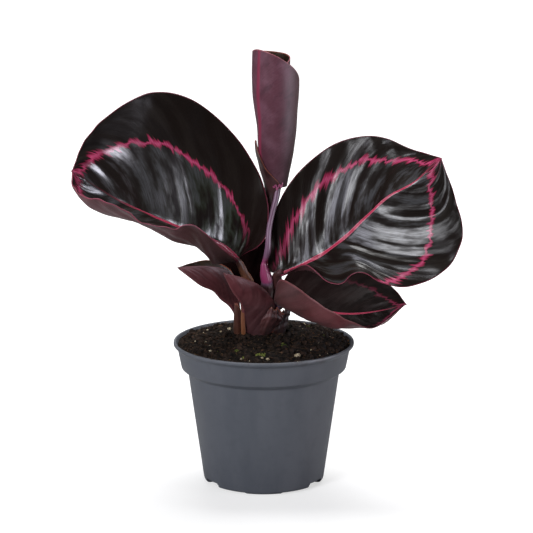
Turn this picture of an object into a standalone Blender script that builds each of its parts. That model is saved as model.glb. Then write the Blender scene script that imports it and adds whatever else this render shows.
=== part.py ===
"""Potted rose-painted calathea: a prayer plant with dark cupped leaves in a 12 cm nursery pot.

Units are metres. +Z is up, the origin is the centre of the pot's base on the surface that it
stands on, and -Y is the side that the two big leaves face.
"""

import math

import bpy
import bmesh
import numpy as np

MM = 0.001
SEAT_GAP = 0.3 * MM  # clearance between touching pieces

# Pot
POT_HEIGHT = 95 * MM
RIM_RADIUS = 60 * MM
COLLAR_RADIUS = 57 * MM
COLLAR_FOOT_RADIUS = 54.8 * MM
COLLAR_HEIGHT = 17.5 * MM
STEP_HEIGHT = 2.5 * MM
BODY_RADIUS = 50.4 * MM
FOOT_RADIUS = 39.8 * MM
FOOT_CORNER = 4 * MM
WALL = 1.1 * MM
FLOOR_TOP = 5 * MM
RECESS_HEIGHT = 3.4 * MM  # the floor stands this far above the surface
FOOT_RING_WIDTH = 3.2 * MM
CENTRE_PAD_RADIUS = 7 * MM
POT_SEGMENTS = 60
DRAIN_ANGLES = (30, 150, 210, 330)  # degrees from +X, where the foot ring is cut away
DRAIN_SIZE = (16 * MM, 13 * MM, 3.7 * MM)

# Soil and rootstock
SOIL_EDGE_HEIGHT = 92 * MM
SOIL_CROWN_HEIGHT = 98 * MM
CROWN_CENTRE = (-4 * MM, 8 * MM)
CROWN_RADIUS = 17 * MM
CROWN_DEPTH = 24 * MM
CROWN_TOP = 97.7 * MM

# Leaves
BLADE_THICKNESS = 0.8 * MM
BLADE_ROWS = 21
HALF_COLUMNS = 5
STALK_SIDES = 2  # bevel resolution, which gives eight sides
ROLL_COLUMNS = 33
ROLL_ROWS = 10
ROLL_TURN = 540  # degrees that the rolled leaf winds through, from its outer margin inwards


def clear_scene():
    for old in list(bpy.data.objects):
        bpy.data.objects.remove(old, do_unlink=True)


def new_collection(name):
    made = bpy.data.collections.new(name)
    bpy.context.scene.collection.children.link(made)
    return made


def surface_material(name, colour, roughness):
    made = bpy.data.materials.new(name)
    made.use_nodes = True
    shader = made.node_tree.nodes["Principled BSDF"]
    shader.inputs["Base Color"].default_value = (*colour, 1)
    shader.inputs["Roughness"].default_value = roughness
    shader.inputs["Metallic"].default_value = 0
    return made


def add_mesh(name, bm, collection, material):
    mesh = bpy.data.meshes.new(name)
    bm.to_mesh(mesh)
    bm.free()
    mesh.materials.append(material)
    made = bpy.data.objects.new(name, mesh)
    collection.objects.link(made)
    return made


def smooth_line(points, count):
    """count points on a Catmull-Rom curve through the given points (any number of columns)."""
    knots = np.array(points, float)
    padded = np.vstack([2 * knots[0] - knots[1], knots, 2 * knots[-1] - knots[-2]])
    made = []
    for place in np.linspace(0, len(knots) - 1, count):
        i = min(int(place), len(knots) - 2)
        u = place - i
        a, b, c, d = padded[i : i + 4]
        square = 2 * a - 5 * b + 4 * c - d
        cube = 3 * b - a - 3 * c + d
        made.append(0.5 * (2 * b + (c - a) * u + square * u**2 + cube * u**3))
    return np.array(made)


def turned(name, profile, collection, material):
    """A solid of revolution. The profile starts and ends on the axis and runs down its outer side."""
    bm = bmesh.new()
    verts = [bm.verts.new((radius, 0, height)) for radius, height in profile]
    for first, second in zip(verts, verts[1:]):
        bm.edges.new((first, second))
    made = add_mesh(name, bm, collection, material)
    screw = made.modifiers.new("Turn", "SCREW")
    screw.steps = screw.render_steps = POT_SEGMENTS
    screw.use_merge_vertices = True
    screw.merge_threshold = 0.00001
    return made


def cut(target, cutter, label):
    modifier = target.modifiers.new(label, "BOOLEAN")
    modifier.operation = "DIFFERENCE"
    modifier.object = cutter
    cutter.hide_render = True
    cutter.display_type = "WIRE"


def inner_radius(height):
    """Radius of the pot's inner wall at a height above the floor, below the collar and inside it."""
    if height >= POT_HEIGHT - COLLAR_HEIGHT:
        share = (height - POT_HEIGHT + COLLAR_HEIGHT) / COLLAR_HEIGHT
        return COLLAR_FOOT_RADIUS - WALL + share * (COLLAR_RADIUS - COLLAR_FOOT_RADIUS)
    share = height / (POT_HEIGHT - COLLAR_HEIGHT - STEP_HEIGHT)
    return FOOT_RADIUS - WALL + min(share, 1) * (BODY_RADIUS - FOOT_RADIUS)


def build_pot(collection, cutters, material):
    shoulder = POT_HEIGHT - COLLAR_HEIGHT
    profile = [
        (0, FLOOR_TOP),
        (inner_radius(FLOOR_TOP) - 3 * MM, FLOOR_TOP),
        (inner_radius(FLOOR_TOP + 3 * MM), FLOOR_TOP + 3 * MM),
        (inner_radius(shoulder - STEP_HEIGHT), shoulder - STEP_HEIGHT),
        (inner_radius(shoulder), shoulder),
        (inner_radius(POT_HEIGHT), POT_HEIGHT - 1 * MM),
        (RIM_RADIUS - 1.6 * MM, POT_HEIGHT),
        (RIM_RADIUS - 0.5 * MM, POT_HEIGHT),
        (RIM_RADIUS, POT_HEIGHT - 0.6 * MM),
        (RIM_RADIUS, POT_HEIGHT - 1.8 * MM),
        (COLLAR_RADIUS + 0.6 * MM, POT_HEIGHT - 4.2 * MM),
        (COLLAR_RADIUS, POT_HEIGHT - 7 * MM),
        (COLLAR_FOOT_RADIUS, shoulder),
        (BODY_RADIUS + 0.3 * MM, shoulder - STEP_HEIGHT),
        (FOOT_RADIUS + 0.4 * MM, FOOT_CORNER),
        (FOOT_RADIUS - 0.6 * MM, FOOT_CORNER * 0.4),
        (FOOT_RADIUS - 2.2 * MM, 0),
        (FOOT_RADIUS - 2.2 * MM - FOOT_RING_WIDTH, 0),
        (FOOT_RADIUS - 3 * MM - FOOT_RING_WIDTH, RECESS_HEIGHT),
        (CENTRE_PAD_RADIUS + 1.5 * MM, RECESS_HEIGHT),
        (CENTRE_PAD_RADIUS, 0),
        (0, 0),
    ]
    pot = turned("pot", profile, collection, material)
    for number, degrees in enumerate(DRAIN_ANGLES):
        bm = bmesh.new()
        bmesh.ops.create_cube(bm, size=1)
        bmesh.ops.scale(bm, vec=(DRAIN_SIZE[1], DRAIN_SIZE[0], 2 * DRAIN_SIZE[2]), verts=bm.verts)
        cutter = add_mesh(f"drain_cutter_{number}", bm, cutters, material)
        angle = math.radians(degrees)
        reach = FOOT_RADIUS - FOOT_RING_WIDTH / 2
        cutter.location = (reach * math.cos(angle), reach * math.sin(angle), 0)
        cutter.rotation_euler = (0, 0, angle)
        cut(pot, cutter, f"Drain {number}")
    return pot


def crown_profile(growth):
    """Rootstock outline, from its domed top to its rounded tip, grown outwards by a clearance."""
    steps = 7
    bottom = CROWN_TOP - CROWN_DEPTH - growth
    outline = [(0, CROWN_TOP + growth), (CROWN_RADIUS + growth, CROWN_TOP + growth)]
    for step in range(1, steps):
        turn = math.pi / 2 * step / steps
        outline.append(
            ((CROWN_RADIUS + growth) * math.cos(turn), CROWN_TOP - (CROWN_TOP - bottom) * math.sin(turn))
        )
    return outline + [(0, bottom)]


def build_soil(collection, cutters, material):
    clear = SEAT_GAP
    shoulder = POT_HEIGHT - COLLAR_HEIGHT
    profile = [
        (0, SOIL_CROWN_HEIGHT),
        (22 * MM, SOIL_CROWN_HEIGHT),
        (38 * MM, SOIL_CROWN_HEIGHT - 3.5 * MM),
        (inner_radius(SOIL_EDGE_HEIGHT) - 6 * MM, SOIL_EDGE_HEIGHT + 0.6 * MM),
        (inner_radius(SOIL_EDGE_HEIGHT) - clear, SOIL_EDGE_HEIGHT),
        (inner_radius(shoulder) - clear, shoulder + clear),
        (inner_radius(shoulder - STEP_HEIGHT) - clear, shoulder - STEP_HEIGHT),
        (inner_radius(FLOOR_TOP + 3 * MM) - clear, FLOOR_TOP + 3 * MM + clear),
        (inner_radius(FLOOR_TOP) - 3 * MM - clear, FLOOR_TOP + clear),
        (0, FLOOR_TOP + clear),
    ]
    soil = turned("potting_soil", profile, collection, material)
    socket = turned("crown_socket_cutter", crown_profile(SEAT_GAP), cutters, material)
    socket.location = (*CROWN_CENTRE, 0)
    cut(soil, socket, "Crown socket")
    # The socket is open at the top, so its cutter reaches above the mound.
    chimney = bmesh.new()
    bmesh.ops.create_cone(
        chimney,
        segments=POT_SEGMENTS,
        radius1=CROWN_RADIUS + SEAT_GAP,
        radius2=CROWN_RADIUS + SEAT_GAP,
        depth=10 * MM,
        cap_ends=True,
    )
    opening = add_mesh("crown_mouth_cutter", chimney, cutters, material)
    opening.location = (*CROWN_CENTRE, CROWN_TOP + 4 * MM)
    cut(soil, opening, "Crown mouth")
    return soil


def build_crown(collection, material):
    crown = turned("crown", crown_profile(0), collection, material)
    crown.location = (*CROWN_CENTRE, 0)
    return crown


def blade_points(midrib, left_margin, right_margin, left_sag, right_sag):
    """Grid of a leaf blade, row by row from base to tip and from its left margin to its right.

    Left and right are as seen from above the blade with its tip pointing away. A sag hangs that
    half towards the underside, halfway between midrib and margin.
    """
    spine = smooth_line(midrib, BLADE_ROWS)
    along = np.gradient(spine, axis=0)
    rows = []
    halves = []
    for margin, sag, side in ((left_margin, left_sag, -1), (right_margin, right_sag, 1)):
        edge = smooth_line(margin, BLADE_ROWS)
        depth = smooth_line([[value] for value in sag], BLADE_ROWS)[:, 0]
        across = edge - spine
        under = side * np.cross(along, across)
        length = np.linalg.norm(under, axis=1, keepdims=True)
        under = under / np.maximum(length, 1e-9)
        halves.append((across, under, depth))
    for row in range(BLADE_ROWS):
        line = []
        for column in range(-HALF_COLUMNS, HALF_COLUMNS + 1):
            across, under, depth = halves[0] if column < 0 else halves[1]
            s = abs(column) / HALF_COLUMNS
            line.append(spine[row] + s * across[row] + 4 * s * (1 - s) * depth[row] * under[row])
        rows.append(line)
    return np.array(rows) * MM


def sheet(name, grid, thickness, collection, material):
    """A solid sheet through a grid of points."""
    bm = bmesh.new()
    verts = [[bm.verts.new(point) for point in line] for line in grid]
    for lower, upper in zip(verts, verts[1:]):
        for i in range(len(lower) - 1):
            bm.faces.new((lower[i], lower[i + 1], upper[i + 1], upper[i]))
    bmesh.ops.remove_doubles(bm, verts=bm.verts, dist=0.02 * MM)
    bmesh.ops.recalc_face_normals(bm, faces=bm.faces)
    made = add_mesh(name, bm, collection, material)
    solid = made.modifiers.new("Thickness", "SOLIDIFY")
    solid.thickness = thickness
    solid.offset = 0
    made.data.shade_smooth()
    return made


def blade(name, shape, collection, material):
    grid = blade_points(
        shape["midrib"], shape["left"], shape["right"], shape["left_sag"], shape["right_sag"]
    )
    return sheet(name, grid, BLADE_THICKNESS, collection, material)


def stalk(name, route, collection, material):
    """A round stalk through points in millimetres, each given as x, y, z and radius."""
    count = 4 * (len(route) - 1) + 1
    line = smooth_line(route, count) * MM
    curve = bpy.data.curves.new(name, "CURVE")
    curve.dimensions = "3D"
    curve.bevel_depth = 1
    curve.bevel_resolution = STALK_SIDES
    curve.use_fill_caps = True
    spline = curve.splines.new("POLY")
    spline.points.add(count - 1)
    for knot, (x, y, z, radius) in zip(spline.points, line):
        knot.co = (x, y, z, 1)
        knot.radius = radius
    curve.materials.append(material)
    made = bpy.data.objects.new(name, curve)
    collection.objects.link(made)
    return made


# Blade outlines in millimetres, from base to tip. Left and right are as blade_points says.
LEFT_LEAF = {
    "midrib": [
        (-17, 6, 149), (-26, 4, 158), (-43, -4, 168), (-60, -14, 177),
        (-77, -25, 187), (-94, -36, 198), (-109, -47, 210), (-122, -60, 222),
    ],
    "left": [
        (-17, 4, 149), (-27, -24, 164), (-44, -50, 184), (-58, -68, 186),
        (-76, -80, 194), (-93, -88, 205), (-109, -86, 210), (-120, -72, 214), (-122, -60, 222),
    ],
    "right": [
        (-15, 7, 151), (-1, 0, 164), (1, 6, 191), (-16, 14, 225),
        (-45, 18, 253), (-76, 10, 260), (-104, -18, 247), (-117, -40, 234), (-122, -60, 222),
    ],
    "left_sag": [2, 12, 10, 7, 4, 7, 9, 4, 0],
    "right_sag": [0, 4, 8, 8, 6, 5, 3, 1, 0],
}
RIGHT_LEAF = {
    "midrib": [
        (10, -2, 141), (25, -5, 148), (40, -9, 157), (54, -13, 169),
        (67, -17, 183), (81, -21, 197), (97, -24, 207), (115, -22, 223),
    ],
    "left": [
        (9, -1, 142), (4, 5, 152), (10, 8, 181), (24, 13, 205),
        (48, 14, 226), (74, 11, 231), (96, 0, 225), (115, -22, 223),
    ],
    "right": [
        (11, -3, 140), (29, -20, 151), (46, -36, 142), (63, -44, 151),
        (86, -50, 144), (114, -50, 152), (128, -44, 173), (124, -34, 198), (115, -22, 223),
    ],
    "left_sag": [0, 2, 4, 5, 5, 4, 2, 0],
    "right_sag": [0, 2, 2, 2, 2, 2, 2, 1, 0],
}
LOWER_RIGHT_LEAF = {
    "midrib": [
        (9, -1, 121), (17, -6, 120), (32, -11, 120), (47, -16, 118),
        (62, -22, 119), (79, -28, 123), (93, -32, 128),
    ],
    "left": [
        (9, 1, 122), (19, 15, 133), (33, 27, 140), (53, 30, 141),
        (71, 24, 139), (86, 4, 130), (93, -32, 128),
    ],
    "right": [
        (8, -3, 122), (11, -18, 141), (26, -38, 137), (40, -50, 130),
        (54, -56, 123), (73, -52, 118), (93, -32, 128),
    ],
    "left_sag": [0, 1, 2, 3, 3, 2, 0],
    "right_sag": [0, 10, 12, 11, 7, 3, 0],
}
LOWER_LEFT_LEAF = {
    "midrib": [
        (-18, 6, 98.5), (-18, 6, 110), (-22, 4, 118), (-28, 0, 124),
        (-33, -6, 131), (-41, -12, 136), (-48, -19, 143), (-56, -26, 151),
    ],
    "left": [
        (-16, 4, 98.5), (-16, 3, 115), (-19, 1, 131), (-24, -6, 144),
        (-31, -12, 148), (-39, -17, 150), (-48, -22, 151), (-56, -26, 151),
    ],
    "right": [
        (-16, 10, 98.5), (-16, 12, 112), (-17, 15, 125), (-21, 15, 138),
        (-28, 12, 144), (-37, 4, 149), (-47, -8, 150), (-56, -26, 151),
    ],
    "left_sag": [0, 0, 1, 2, 2, 1, 1, 0],
    "right_sag": [0, 0, 1, 2, 2, 1, 1, 0],
}
BACK_LEAF = {
    "midrib": [
        (-7, 17, 98.5), (-9, 18, 115), (-11, 20, 131), (-13, 23, 147),
        (-17, 27, 161), (-22, 32, 174), (-28, 38, 186),
    ],
    "left": [
        (-10, 16, 98.5), (-15, 17, 115), (-26, 20, 131), (-33, 22, 147),
        (-35, 25, 161), (-34, 31, 174), (-28, 38, 186),
    ],
    "right": [
        (-4, 16, 98.5), (-4, 17, 115), (-2, 18, 131), (-1, 20, 146),
        (-4, 25, 161), (-12, 32, 174), (-28, 38, 186),
    ],
    "left_sag": [1, 2, 3, 3, 3, 2, 0],
    "right_sag": [1, 2, 3, 3, 3, 2, 0],
}
FRONT_LEAF = {
    "midrib": [
        (-12, 0, 98.6), (-13, -4, 110), (-14, -8, 120), (-16, -12, 126),
        (-20, -15, 132), (-23, -18, 139), (-26, -21, 146),
    ],
    "left": [
        (-1, -6, 98.6), (3, -6, 110), (7, -6, 121), (3, -7, 129),
        (-4, -11, 136), (-14, -17, 142), (-26, -21, 146),
    ],
    "right": [
        (-12, 6, 98.6), (-12, 3, 110), (-12, -1, 119), (-12, -5, 126),
        (-14, -8, 132), (-18, -13, 138), (-26, -21, 146),
    ],
    "left_sag": [2, 3, 4, 3, 3, 2, 0],
    "right_sag": [0, 0, 0, 1, 1, 1, 0],
}

# The rolled leaf, in millimetres: its centre and its outer radius at heights from base to top.
ROLL_STATIONS = [
    (9, 14, 197, 6), (7.6, 14, 209, 9.8), (7.6, 14, 220, 12), (7.7, 14, 236, 13.5), (7, 14, 261, 16),
    (7, 14, 290, 16),
]
ROLL_INNER_SHARE = 0.2  # innermost radius as a share of the outermost
ROLL_TIGHTENING = 1.8  # above 1, the outer turn stays wide and the inner ones close up
ROLL_TOP = [268, 279, 287, 290, 287, 286, 285, 284, 282, 279, 277, 279, 282]

# Stalk routes in millimetres, from the leaf down to the crown, each point with its radius.
STALKS = {
    "left_leaf_stalk": [
        (-17, 6.5, 147.4, 2.4), (-13, 8, 139, 2.7), (-8, 10, 129, 2.8), (-6, 11.5, 116, 3),
        (-7, 11.5, 98.1, 3.4),
    ],
    "right_leaf_stalk": [
        (10, -1.2, 140, 2.2), (10, 7, 132, 2.4), (9, 11.5, 124, 2.6), (8, 13, 112, 2.8), (7, 13, 98.1, 3.2),
    ],
    "lower_right_leaf_stalk": [
        (9, -1, 119.9, 2.4), (7, 0, 110, 2.8), (3, 0, 103, 3), (2, 0, 98.4, 3.2),
    ],
    "rolled_leaf_stalk": [
        (9, 14, 196, 2.4), (7, 13, 190, 2.2), (5, 7, 183, 2.1), (5, 0, 176, 2.0), (3, -3, 168, 2.0),
        (3, -3, 160, 2.1), (2, -3, 154, 2.1), (0, -2, 149, 1.6), (0, -1, 143, 3.0), (1, 1, 134, 3.8),
        (1, 4, 122, 3.6), (0, 8, 108, 3.3), (0, 9, 98.1, 3.2),
    ],
}


def rolled_leaf_points():
    """Grid of the rolled leaf: a spiral section, wound inwards clockwise from its outer margin."""
    stations = smooth_line(ROLL_STATIONS, 30)
    tops = smooth_line([[height] for height in ROLL_TOP], ROLL_COLUMNS)[:, 0]
    rows = []
    for row in range(ROLL_ROWS):
        line = []
        for column, top in enumerate(tops):
            share = column / (ROLL_COLUMNS - 1)
            height = ROLL_STATIONS[0][2] + (top - ROLL_STATIONS[0][2]) * row / (ROLL_ROWS - 1)
            x, y, radius = (np.interp(height, stations[:, 2], stations[:, i]) for i in (0, 1, 3))
            radius *= 1 - (1 - ROLL_INNER_SHARE) * share**ROLL_TIGHTENING
            angle = -math.radians(ROLL_TURN) * share
            line.append((x + radius * math.cos(angle), y + radius * math.sin(angle), height))
        rows.append(line)
    return np.array(rows) * MM


def main():
    clear_scene()
    parts = new_collection("potted_calathea")
    cutters = new_collection("cutters")
    plastic = surface_material("grey_plastic", (0.09, 0.1, 0.12), 0.55)
    earth = surface_material("peat", (0.02, 0.014, 0.01), 0.95)
    root = surface_material("rootstock", (0.12, 0.06, 0.03), 0.8)
    leaf = surface_material("leaf", (0.02, 0.02, 0.016), 0.3)
    young = surface_material("young_leaf", (0.12, 0.05, 0.07), 0.5)
    stem = surface_material("stem", (0.14, 0.05, 0.04), 0.45)
    build_pot(parts, cutters, plastic)
    build_soil(parts, cutters, earth)
    build_crown(parts, root)
    blade("left_leaf_blade", LEFT_LEAF, parts, leaf)
    blade("right_leaf_blade", RIGHT_LEAF, parts, leaf)
    blade("lower_right_leaf_blade", LOWER_RIGHT_LEAF, parts, leaf)
    blade("back_leaf", BACK_LEAF, parts, leaf)
    blade("lower_left_leaf", LOWER_LEFT_LEAF, parts, young)
    blade("front_leaf", FRONT_LEAF, parts, young)
    sheet("rolled_leaf", rolled_leaf_points(), BLADE_THICKNESS, parts, young)
    for name, route in STALKS.items():
        stalk(name, route, parts, stem)


main()
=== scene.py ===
import math
import random

import bmesh
import bpy
import numpy as np
from mathutils import Euler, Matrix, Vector, noise


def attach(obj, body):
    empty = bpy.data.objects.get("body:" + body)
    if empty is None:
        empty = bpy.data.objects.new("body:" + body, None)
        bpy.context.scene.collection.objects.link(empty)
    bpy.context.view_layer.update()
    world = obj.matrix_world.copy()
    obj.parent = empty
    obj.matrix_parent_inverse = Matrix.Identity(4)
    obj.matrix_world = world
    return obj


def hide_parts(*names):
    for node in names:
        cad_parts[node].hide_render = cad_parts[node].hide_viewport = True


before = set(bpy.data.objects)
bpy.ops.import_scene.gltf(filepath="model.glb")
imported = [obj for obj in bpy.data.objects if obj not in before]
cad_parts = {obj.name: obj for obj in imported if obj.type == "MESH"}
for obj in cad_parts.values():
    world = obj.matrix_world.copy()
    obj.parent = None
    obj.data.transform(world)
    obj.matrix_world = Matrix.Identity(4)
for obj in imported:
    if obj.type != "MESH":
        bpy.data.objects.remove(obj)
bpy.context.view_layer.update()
mm = 0.001
print("Frame loaded:", len(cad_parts), "nodes")


# Mesh helpers. Points are in millimetres until a mesh is made of them
def addObject(name, data):
    made = bpy.data.objects.new(name, data)
    bpy.context.scene.collection.objects.link(made)
    return made


def pointMesh(name, points, faces):
    mesh = bpy.data.meshes.new(name)
    mesh.from_pydata((points.reshape(-1, 3) * mm).tolist(), [], faces)
    return mesh


def takeMesh(name, bm):
    mesh = bpy.data.meshes.new(name)
    bm.to_mesh(mesh)
    bm.free()
    return mesh


def ringFaces(rows, sides, turned=False):
    # Quads between closed rings of points, with their corners the other way round when turned
    index = np.arange(rows * sides).reshape(rows, sides)
    ahead = np.roll(index, -1, axis=1)
    corners = [index[:-1], ahead[:-1], ahead[1:], index[1:]]
    if turned:
        corners = [index[:-1], index[1:], ahead[1:], ahead[:-1]]
    return np.stack(corners, axis=-1).reshape(-1, 4).tolist()


def finishMesh(name, mesh, materials, dissolve=False):
    # Merges doubles, turns every face outwards, and gives the mesh its materials and an object
    bm = bmesh.new()
    bm.from_mesh(mesh)
    bmesh.ops.remove_doubles(bm, verts=bm.verts, dist=0.003 * mm)
    if dissolve:
        bmesh.ops.dissolve_degenerate(bm, edges=bm.edges, dist=0.002 * mm)
    bmesh.ops.recalc_face_normals(bm, faces=bm.faces)
    bm.to_mesh(mesh)
    bm.free()
    for material in materials:
        mesh.materials.append(material)
    mesh.shade_smooth()
    return addObject(name, mesh)


# Camera first, so that every piece can be looked at as it is made
camera = {
    "target": (0.0018, 0.0, 0.1455),
    "distance": 2.0,
    "pitch": 13.2,  # degrees looking down
    "lens": 204.3,
}


def makeCamera(spec):
    data = bpy.data.cameras.new("camera")
    data.lens = spec["lens"]
    data.sensor_width = 36
    data.clip_end = 30
    made = addObject("camera", data)
    down = math.radians(spec["pitch"])
    back = Vector((0, -math.cos(down), math.sin(down)))
    made.location = Vector(spec["target"]) + back * spec["distance"]
    made.rotation_euler = Euler((math.pi / 2 - down, 0, 0))
    bpy.context.scene.camera = made


# Node helpers, for the materials and for the tree that scatters loose soil
def feed(tree, socket, value):
    if isinstance(value, bpy.types.NodeSocket):
        tree.links.new(value, socket)
    elif socket.type == "RGBA":
        socket.default_value = (*value, 1)
    else:
        socket.default_value = value


def addNode(tree, kind, inputs=None, **settings):
    node = tree.nodes.new(kind)
    for key, value in settings.items():
        setattr(node, key, value)
    for key, value in (inputs or {}).items():
        feed(tree, node.inputs[key], value)
    return node


def maths(tree, operation, first, second=0.0):
    return addNode(tree, "ShaderNodeMath", {0: first, 1: second}, operation=operation).outputs[0]


def times(tree, first, second):
    return maths(tree, "MULTIPLY", first, second)


def plus(tree, first, second):
    return maths(tree, "ADD", first, second)


def joined(tree, x, y, z=0.0):
    return addNode(tree, "ShaderNodeCombineXYZ", {0: x, 1: y, 2: z}).outputs[0]


def spread(tree, value, low, high, outLow=0.0, outHigh=1.0, smooth=True):
    limits = {"Value": value, "From Min": low, "From Max": high, "To Min": outLow, "To Max": outHigh}
    kind = "SMOOTHSTEP" if smooth else "LINEAR"
    return addNode(tree, "ShaderNodeMapRange", limits, interpolation_type=kind).outputs["Result"]


def blendColour(tree, factor, first, second):
    return addNode(tree, "ShaderNodeMix", {0: factor, 6: first, 7: second}, data_type="RGBA").outputs[2]


def attribute(tree, name):
    return addNode(tree, "ShaderNodeAttribute", attribute_name=name).outputs["Fac"]


def whiteNoise(tree, place):
    return addNode(tree, "ShaderNodeTexWhiteNoise", {"W": place}, noise_dimensions="1D").outputs["Value"]


def softNoise(tree, scale, detail, rough, place, dimensions="3D"):
    # A one-dimensional noise reads its place from W and the others from Vector
    socket = "W" if dimensions == "1D" else "Vector"
    inputs = {socket: place, "Scale": scale, "Detail": detail, "Roughness": rough}
    return addNode(tree, "ShaderNodeTexNoise", inputs, noise_dimensions=dimensions).outputs["Fac"]


def startGroup(name, inputs, outputs):
    tree = bpy.data.node_groups.new(name, "ShaderNodeTree")
    for label, value in inputs.items():
        tree.interface.new_socket(label, in_out="INPUT", socket_type="NodeSocketFloat").default_value = value
    for label in outputs:
        tree.interface.new_socket(label, in_out="OUTPUT", socket_type="NodeSocketFloat")
    return tree, tree.nodes.new("NodeGroupInput").outputs


def finishGroup(tree, results):
    out = tree.nodes.new("NodeGroupOutput")
    for label, value in results.items():
        tree.links.new(value, out.inputs[label])
    return tree


def placeGroup(tree, group, inputs):
    return addNode(tree, "ShaderNodeGroup", inputs, node_tree=group).outputs


def startMaterial(name, specular=0.5, sheen=0.0, coatRough=0.2):
    material = bpy.data.materials.new(name)
    material.use_nodes = True
    tree = material.node_tree
    shader = tree.nodes["Principled BSDF"]
    shader.inputs["Specular IOR Level"].default_value = specular
    shader.inputs["Sheen Weight"].default_value = sheen
    shader.inputs["Coat Roughness"].default_value = coatRough
    return material, tree, shader


def finishMaterial(tree, shader, colour, rough, height=None, strength=0.3, distance=0.0003):
    tree.links.new(colour, shader.inputs["Base Color"])
    tree.links.new(rough, shader.inputs["Roughness"])
    if height is not None:
        bump = addNode(tree, "ShaderNodeBump", {"Strength": strength, "Distance": distance, "Height": height})
        tree.links.new(bump.outputs["Normal"], shader.inputs["Normal"])


# Shared effects
def makeVeinStreaks():
    # Lateral veins as fine lines, and broad patches and thin fibres that run along them
    tree, given = startGroup("veinStreaks", {"Vein": 0.0, "Across": 0.0}, ("Lines", "Streaks", "Fibres"))
    vein, across = given["Vein"], given["Across"]
    wobble = softNoise(tree, 3.0, 2.0, 0.5, joined(tree, vein, across), "2D")
    fine = plus(tree, times(tree, vein, 2.0), times(tree, wobble, 1.2))
    line = maths(tree, "ABSOLUTE", maths(tree, "SINE", times(tree, fine, math.pi)))
    broad = joined(tree, times(tree, vein, 0.4), times(tree, across, 0.9))
    thin = joined(tree, times(tree, vein, 9.0), times(tree, across, 1.6))
    streaks = softNoise(tree, 1.0, 4.0, 0.6, broad, "2D")
    fibres = softNoise(tree, 1.0, 3.0, 0.6, thin, "2D")
    return finishGroup(tree, {"Lines": line, "Streaks": streaks, "Fibres": fibres})


def makeRingBrush():
    # A ring of brushed dashes, three for each vein and a little out of line, joined by a thin thread
    tree, given = startGroup("ringBrush", {"Gap": 99.0, "Vein": 0.0, "Width": 1.0}, ("Mask", "Core"))
    place = times(tree, given["Vein"], 3.0)
    cell = maths(tree, "FLOOR", place)
    within = maths(tree, "ABSOLUTE", maths(tree, "SUBTRACT", maths(tree, "FRACT", place), 0.5))
    run = whiteNoise(tree, maths(tree, "FLOOR", times(tree, place, 0.11)))
    slow = softNoise(tree, 0.16, 2.0, 0.5, place, "1D")
    runShift = spread(tree, run, 0.0, 1.0, -0.8, 0.8, smooth=False)
    drift = plus(tree, runShift, spread(tree, slow, 0.3, 0.7, -1.0, 1.0, smooth=False))
    gap = plus(tree, given["Gap"], drift)
    dashGap = plus(tree, gap, spread(tree, whiteNoise(tree, cell), 0.0, 1.0, -0.8, 0.8, smooth=False))
    weight = spread(tree, softNoise(tree, 0.31, 2.0, 0.5, place, "1D"), 0.38, 0.62, 0.35, 1.35)
    weight = times(tree, weight, given["Width"])
    length = whiteNoise(tree, plus(tree, cell, 57.3))
    reach = times(tree, spread(tree, length, 0.0, 1.0, 1.5, 3.0, smooth=False), weight)
    along = maths(tree, "DIVIDE", maths(tree, "ABSOLUTE", dashGap), reach)
    dash = times(tree, spread(tree, along, 0.55, 1.15, 1.0, 0.0), spread(tree, within, 0.3, 0.5, 1.0, 0.5))
    threadGap = maths(tree, "DIVIDE", maths(tree, "ABSOLUTE", gap), times(tree, weight, 1.25))
    mask = maths(tree, "MAXIMUM", dash, spread(tree, threadGap, 0.6, 1.3, 0.85, 0.0))
    core = times(tree, mask, spread(tree, along, 0.0, 0.7, 1.0, 0.0))
    return finishGroup(tree, {"Mask": mask, "Core": core})


def makeGrain():
    # Fine pores over a slow mottle, from the piece's own place; Stretch draws both out along Z
    sizes = {"Pore Size": 900.0, "Mottle Size": 60.0, "Stretch": 1.0}
    tree, given = startGroup("grain", sizes, ("Pores", "Mottle"))
    place = addNode(tree, "ShaderNodeTexCoord").outputs["Object"]
    parts = addNode(tree, "ShaderNodeSeparateXYZ", {0: place}).outputs
    place = joined(tree, parts[0], parts[1], maths(tree, "DIVIDE", parts[2], given["Stretch"]))
    pores = softNoise(tree, given["Pore Size"], 3.0, 0.6, place)
    mottle = softNoise(tree, given["Mottle Size"], 5.0, 0.6, place)
    return finishGroup(tree, {"Pores": pores, "Mottle": mottle})


# Leaf finishes
leafTop = {
    "dark": (0.0080, 0.0050, 0.0038),
    "soft": (0.0135, 0.0098, 0.0078),
    # the colour a leaf's top darkens to as painted shade
    "shadeMaroon": (0.0150, 0.0042, 0.0042),
    # a green tint at the base, partly real and partly painted sheen
    "greenTintAndSheen": (0.034, 0.050, 0.027),
    # painted sheen: a fixed grey for the satin highlights inside the ring
    "paintedSheen": (0.056, 0.057, 0.064),
    "ring": (0.34, 0.022, 0.075),
    "ringCore": (0.50, 0.070, 0.17),
    "midrib": (0.42, 0.028, 0.070),
    "midribSide": (0.55, 0.11, 0.18),
    "margin": (0.12, 0.018, 0.034),
    "satin": (0.14, 1.0),
    "rough": (0.62, 0.42),
    "veinBump": 0.3,
    "specular": 0.035,
}
shadedTop = {
    **leafTop,
    "dark": (0.0046, 0.0024, 0.0022),
    "soft": (0.0090, 0.0040, 0.0038),
    "greenTintAndSheen": (0.0060, 0.0034, 0.0030),
    "specular": 0.02,
    "rough": (0.7, 0.55),
}


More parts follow.
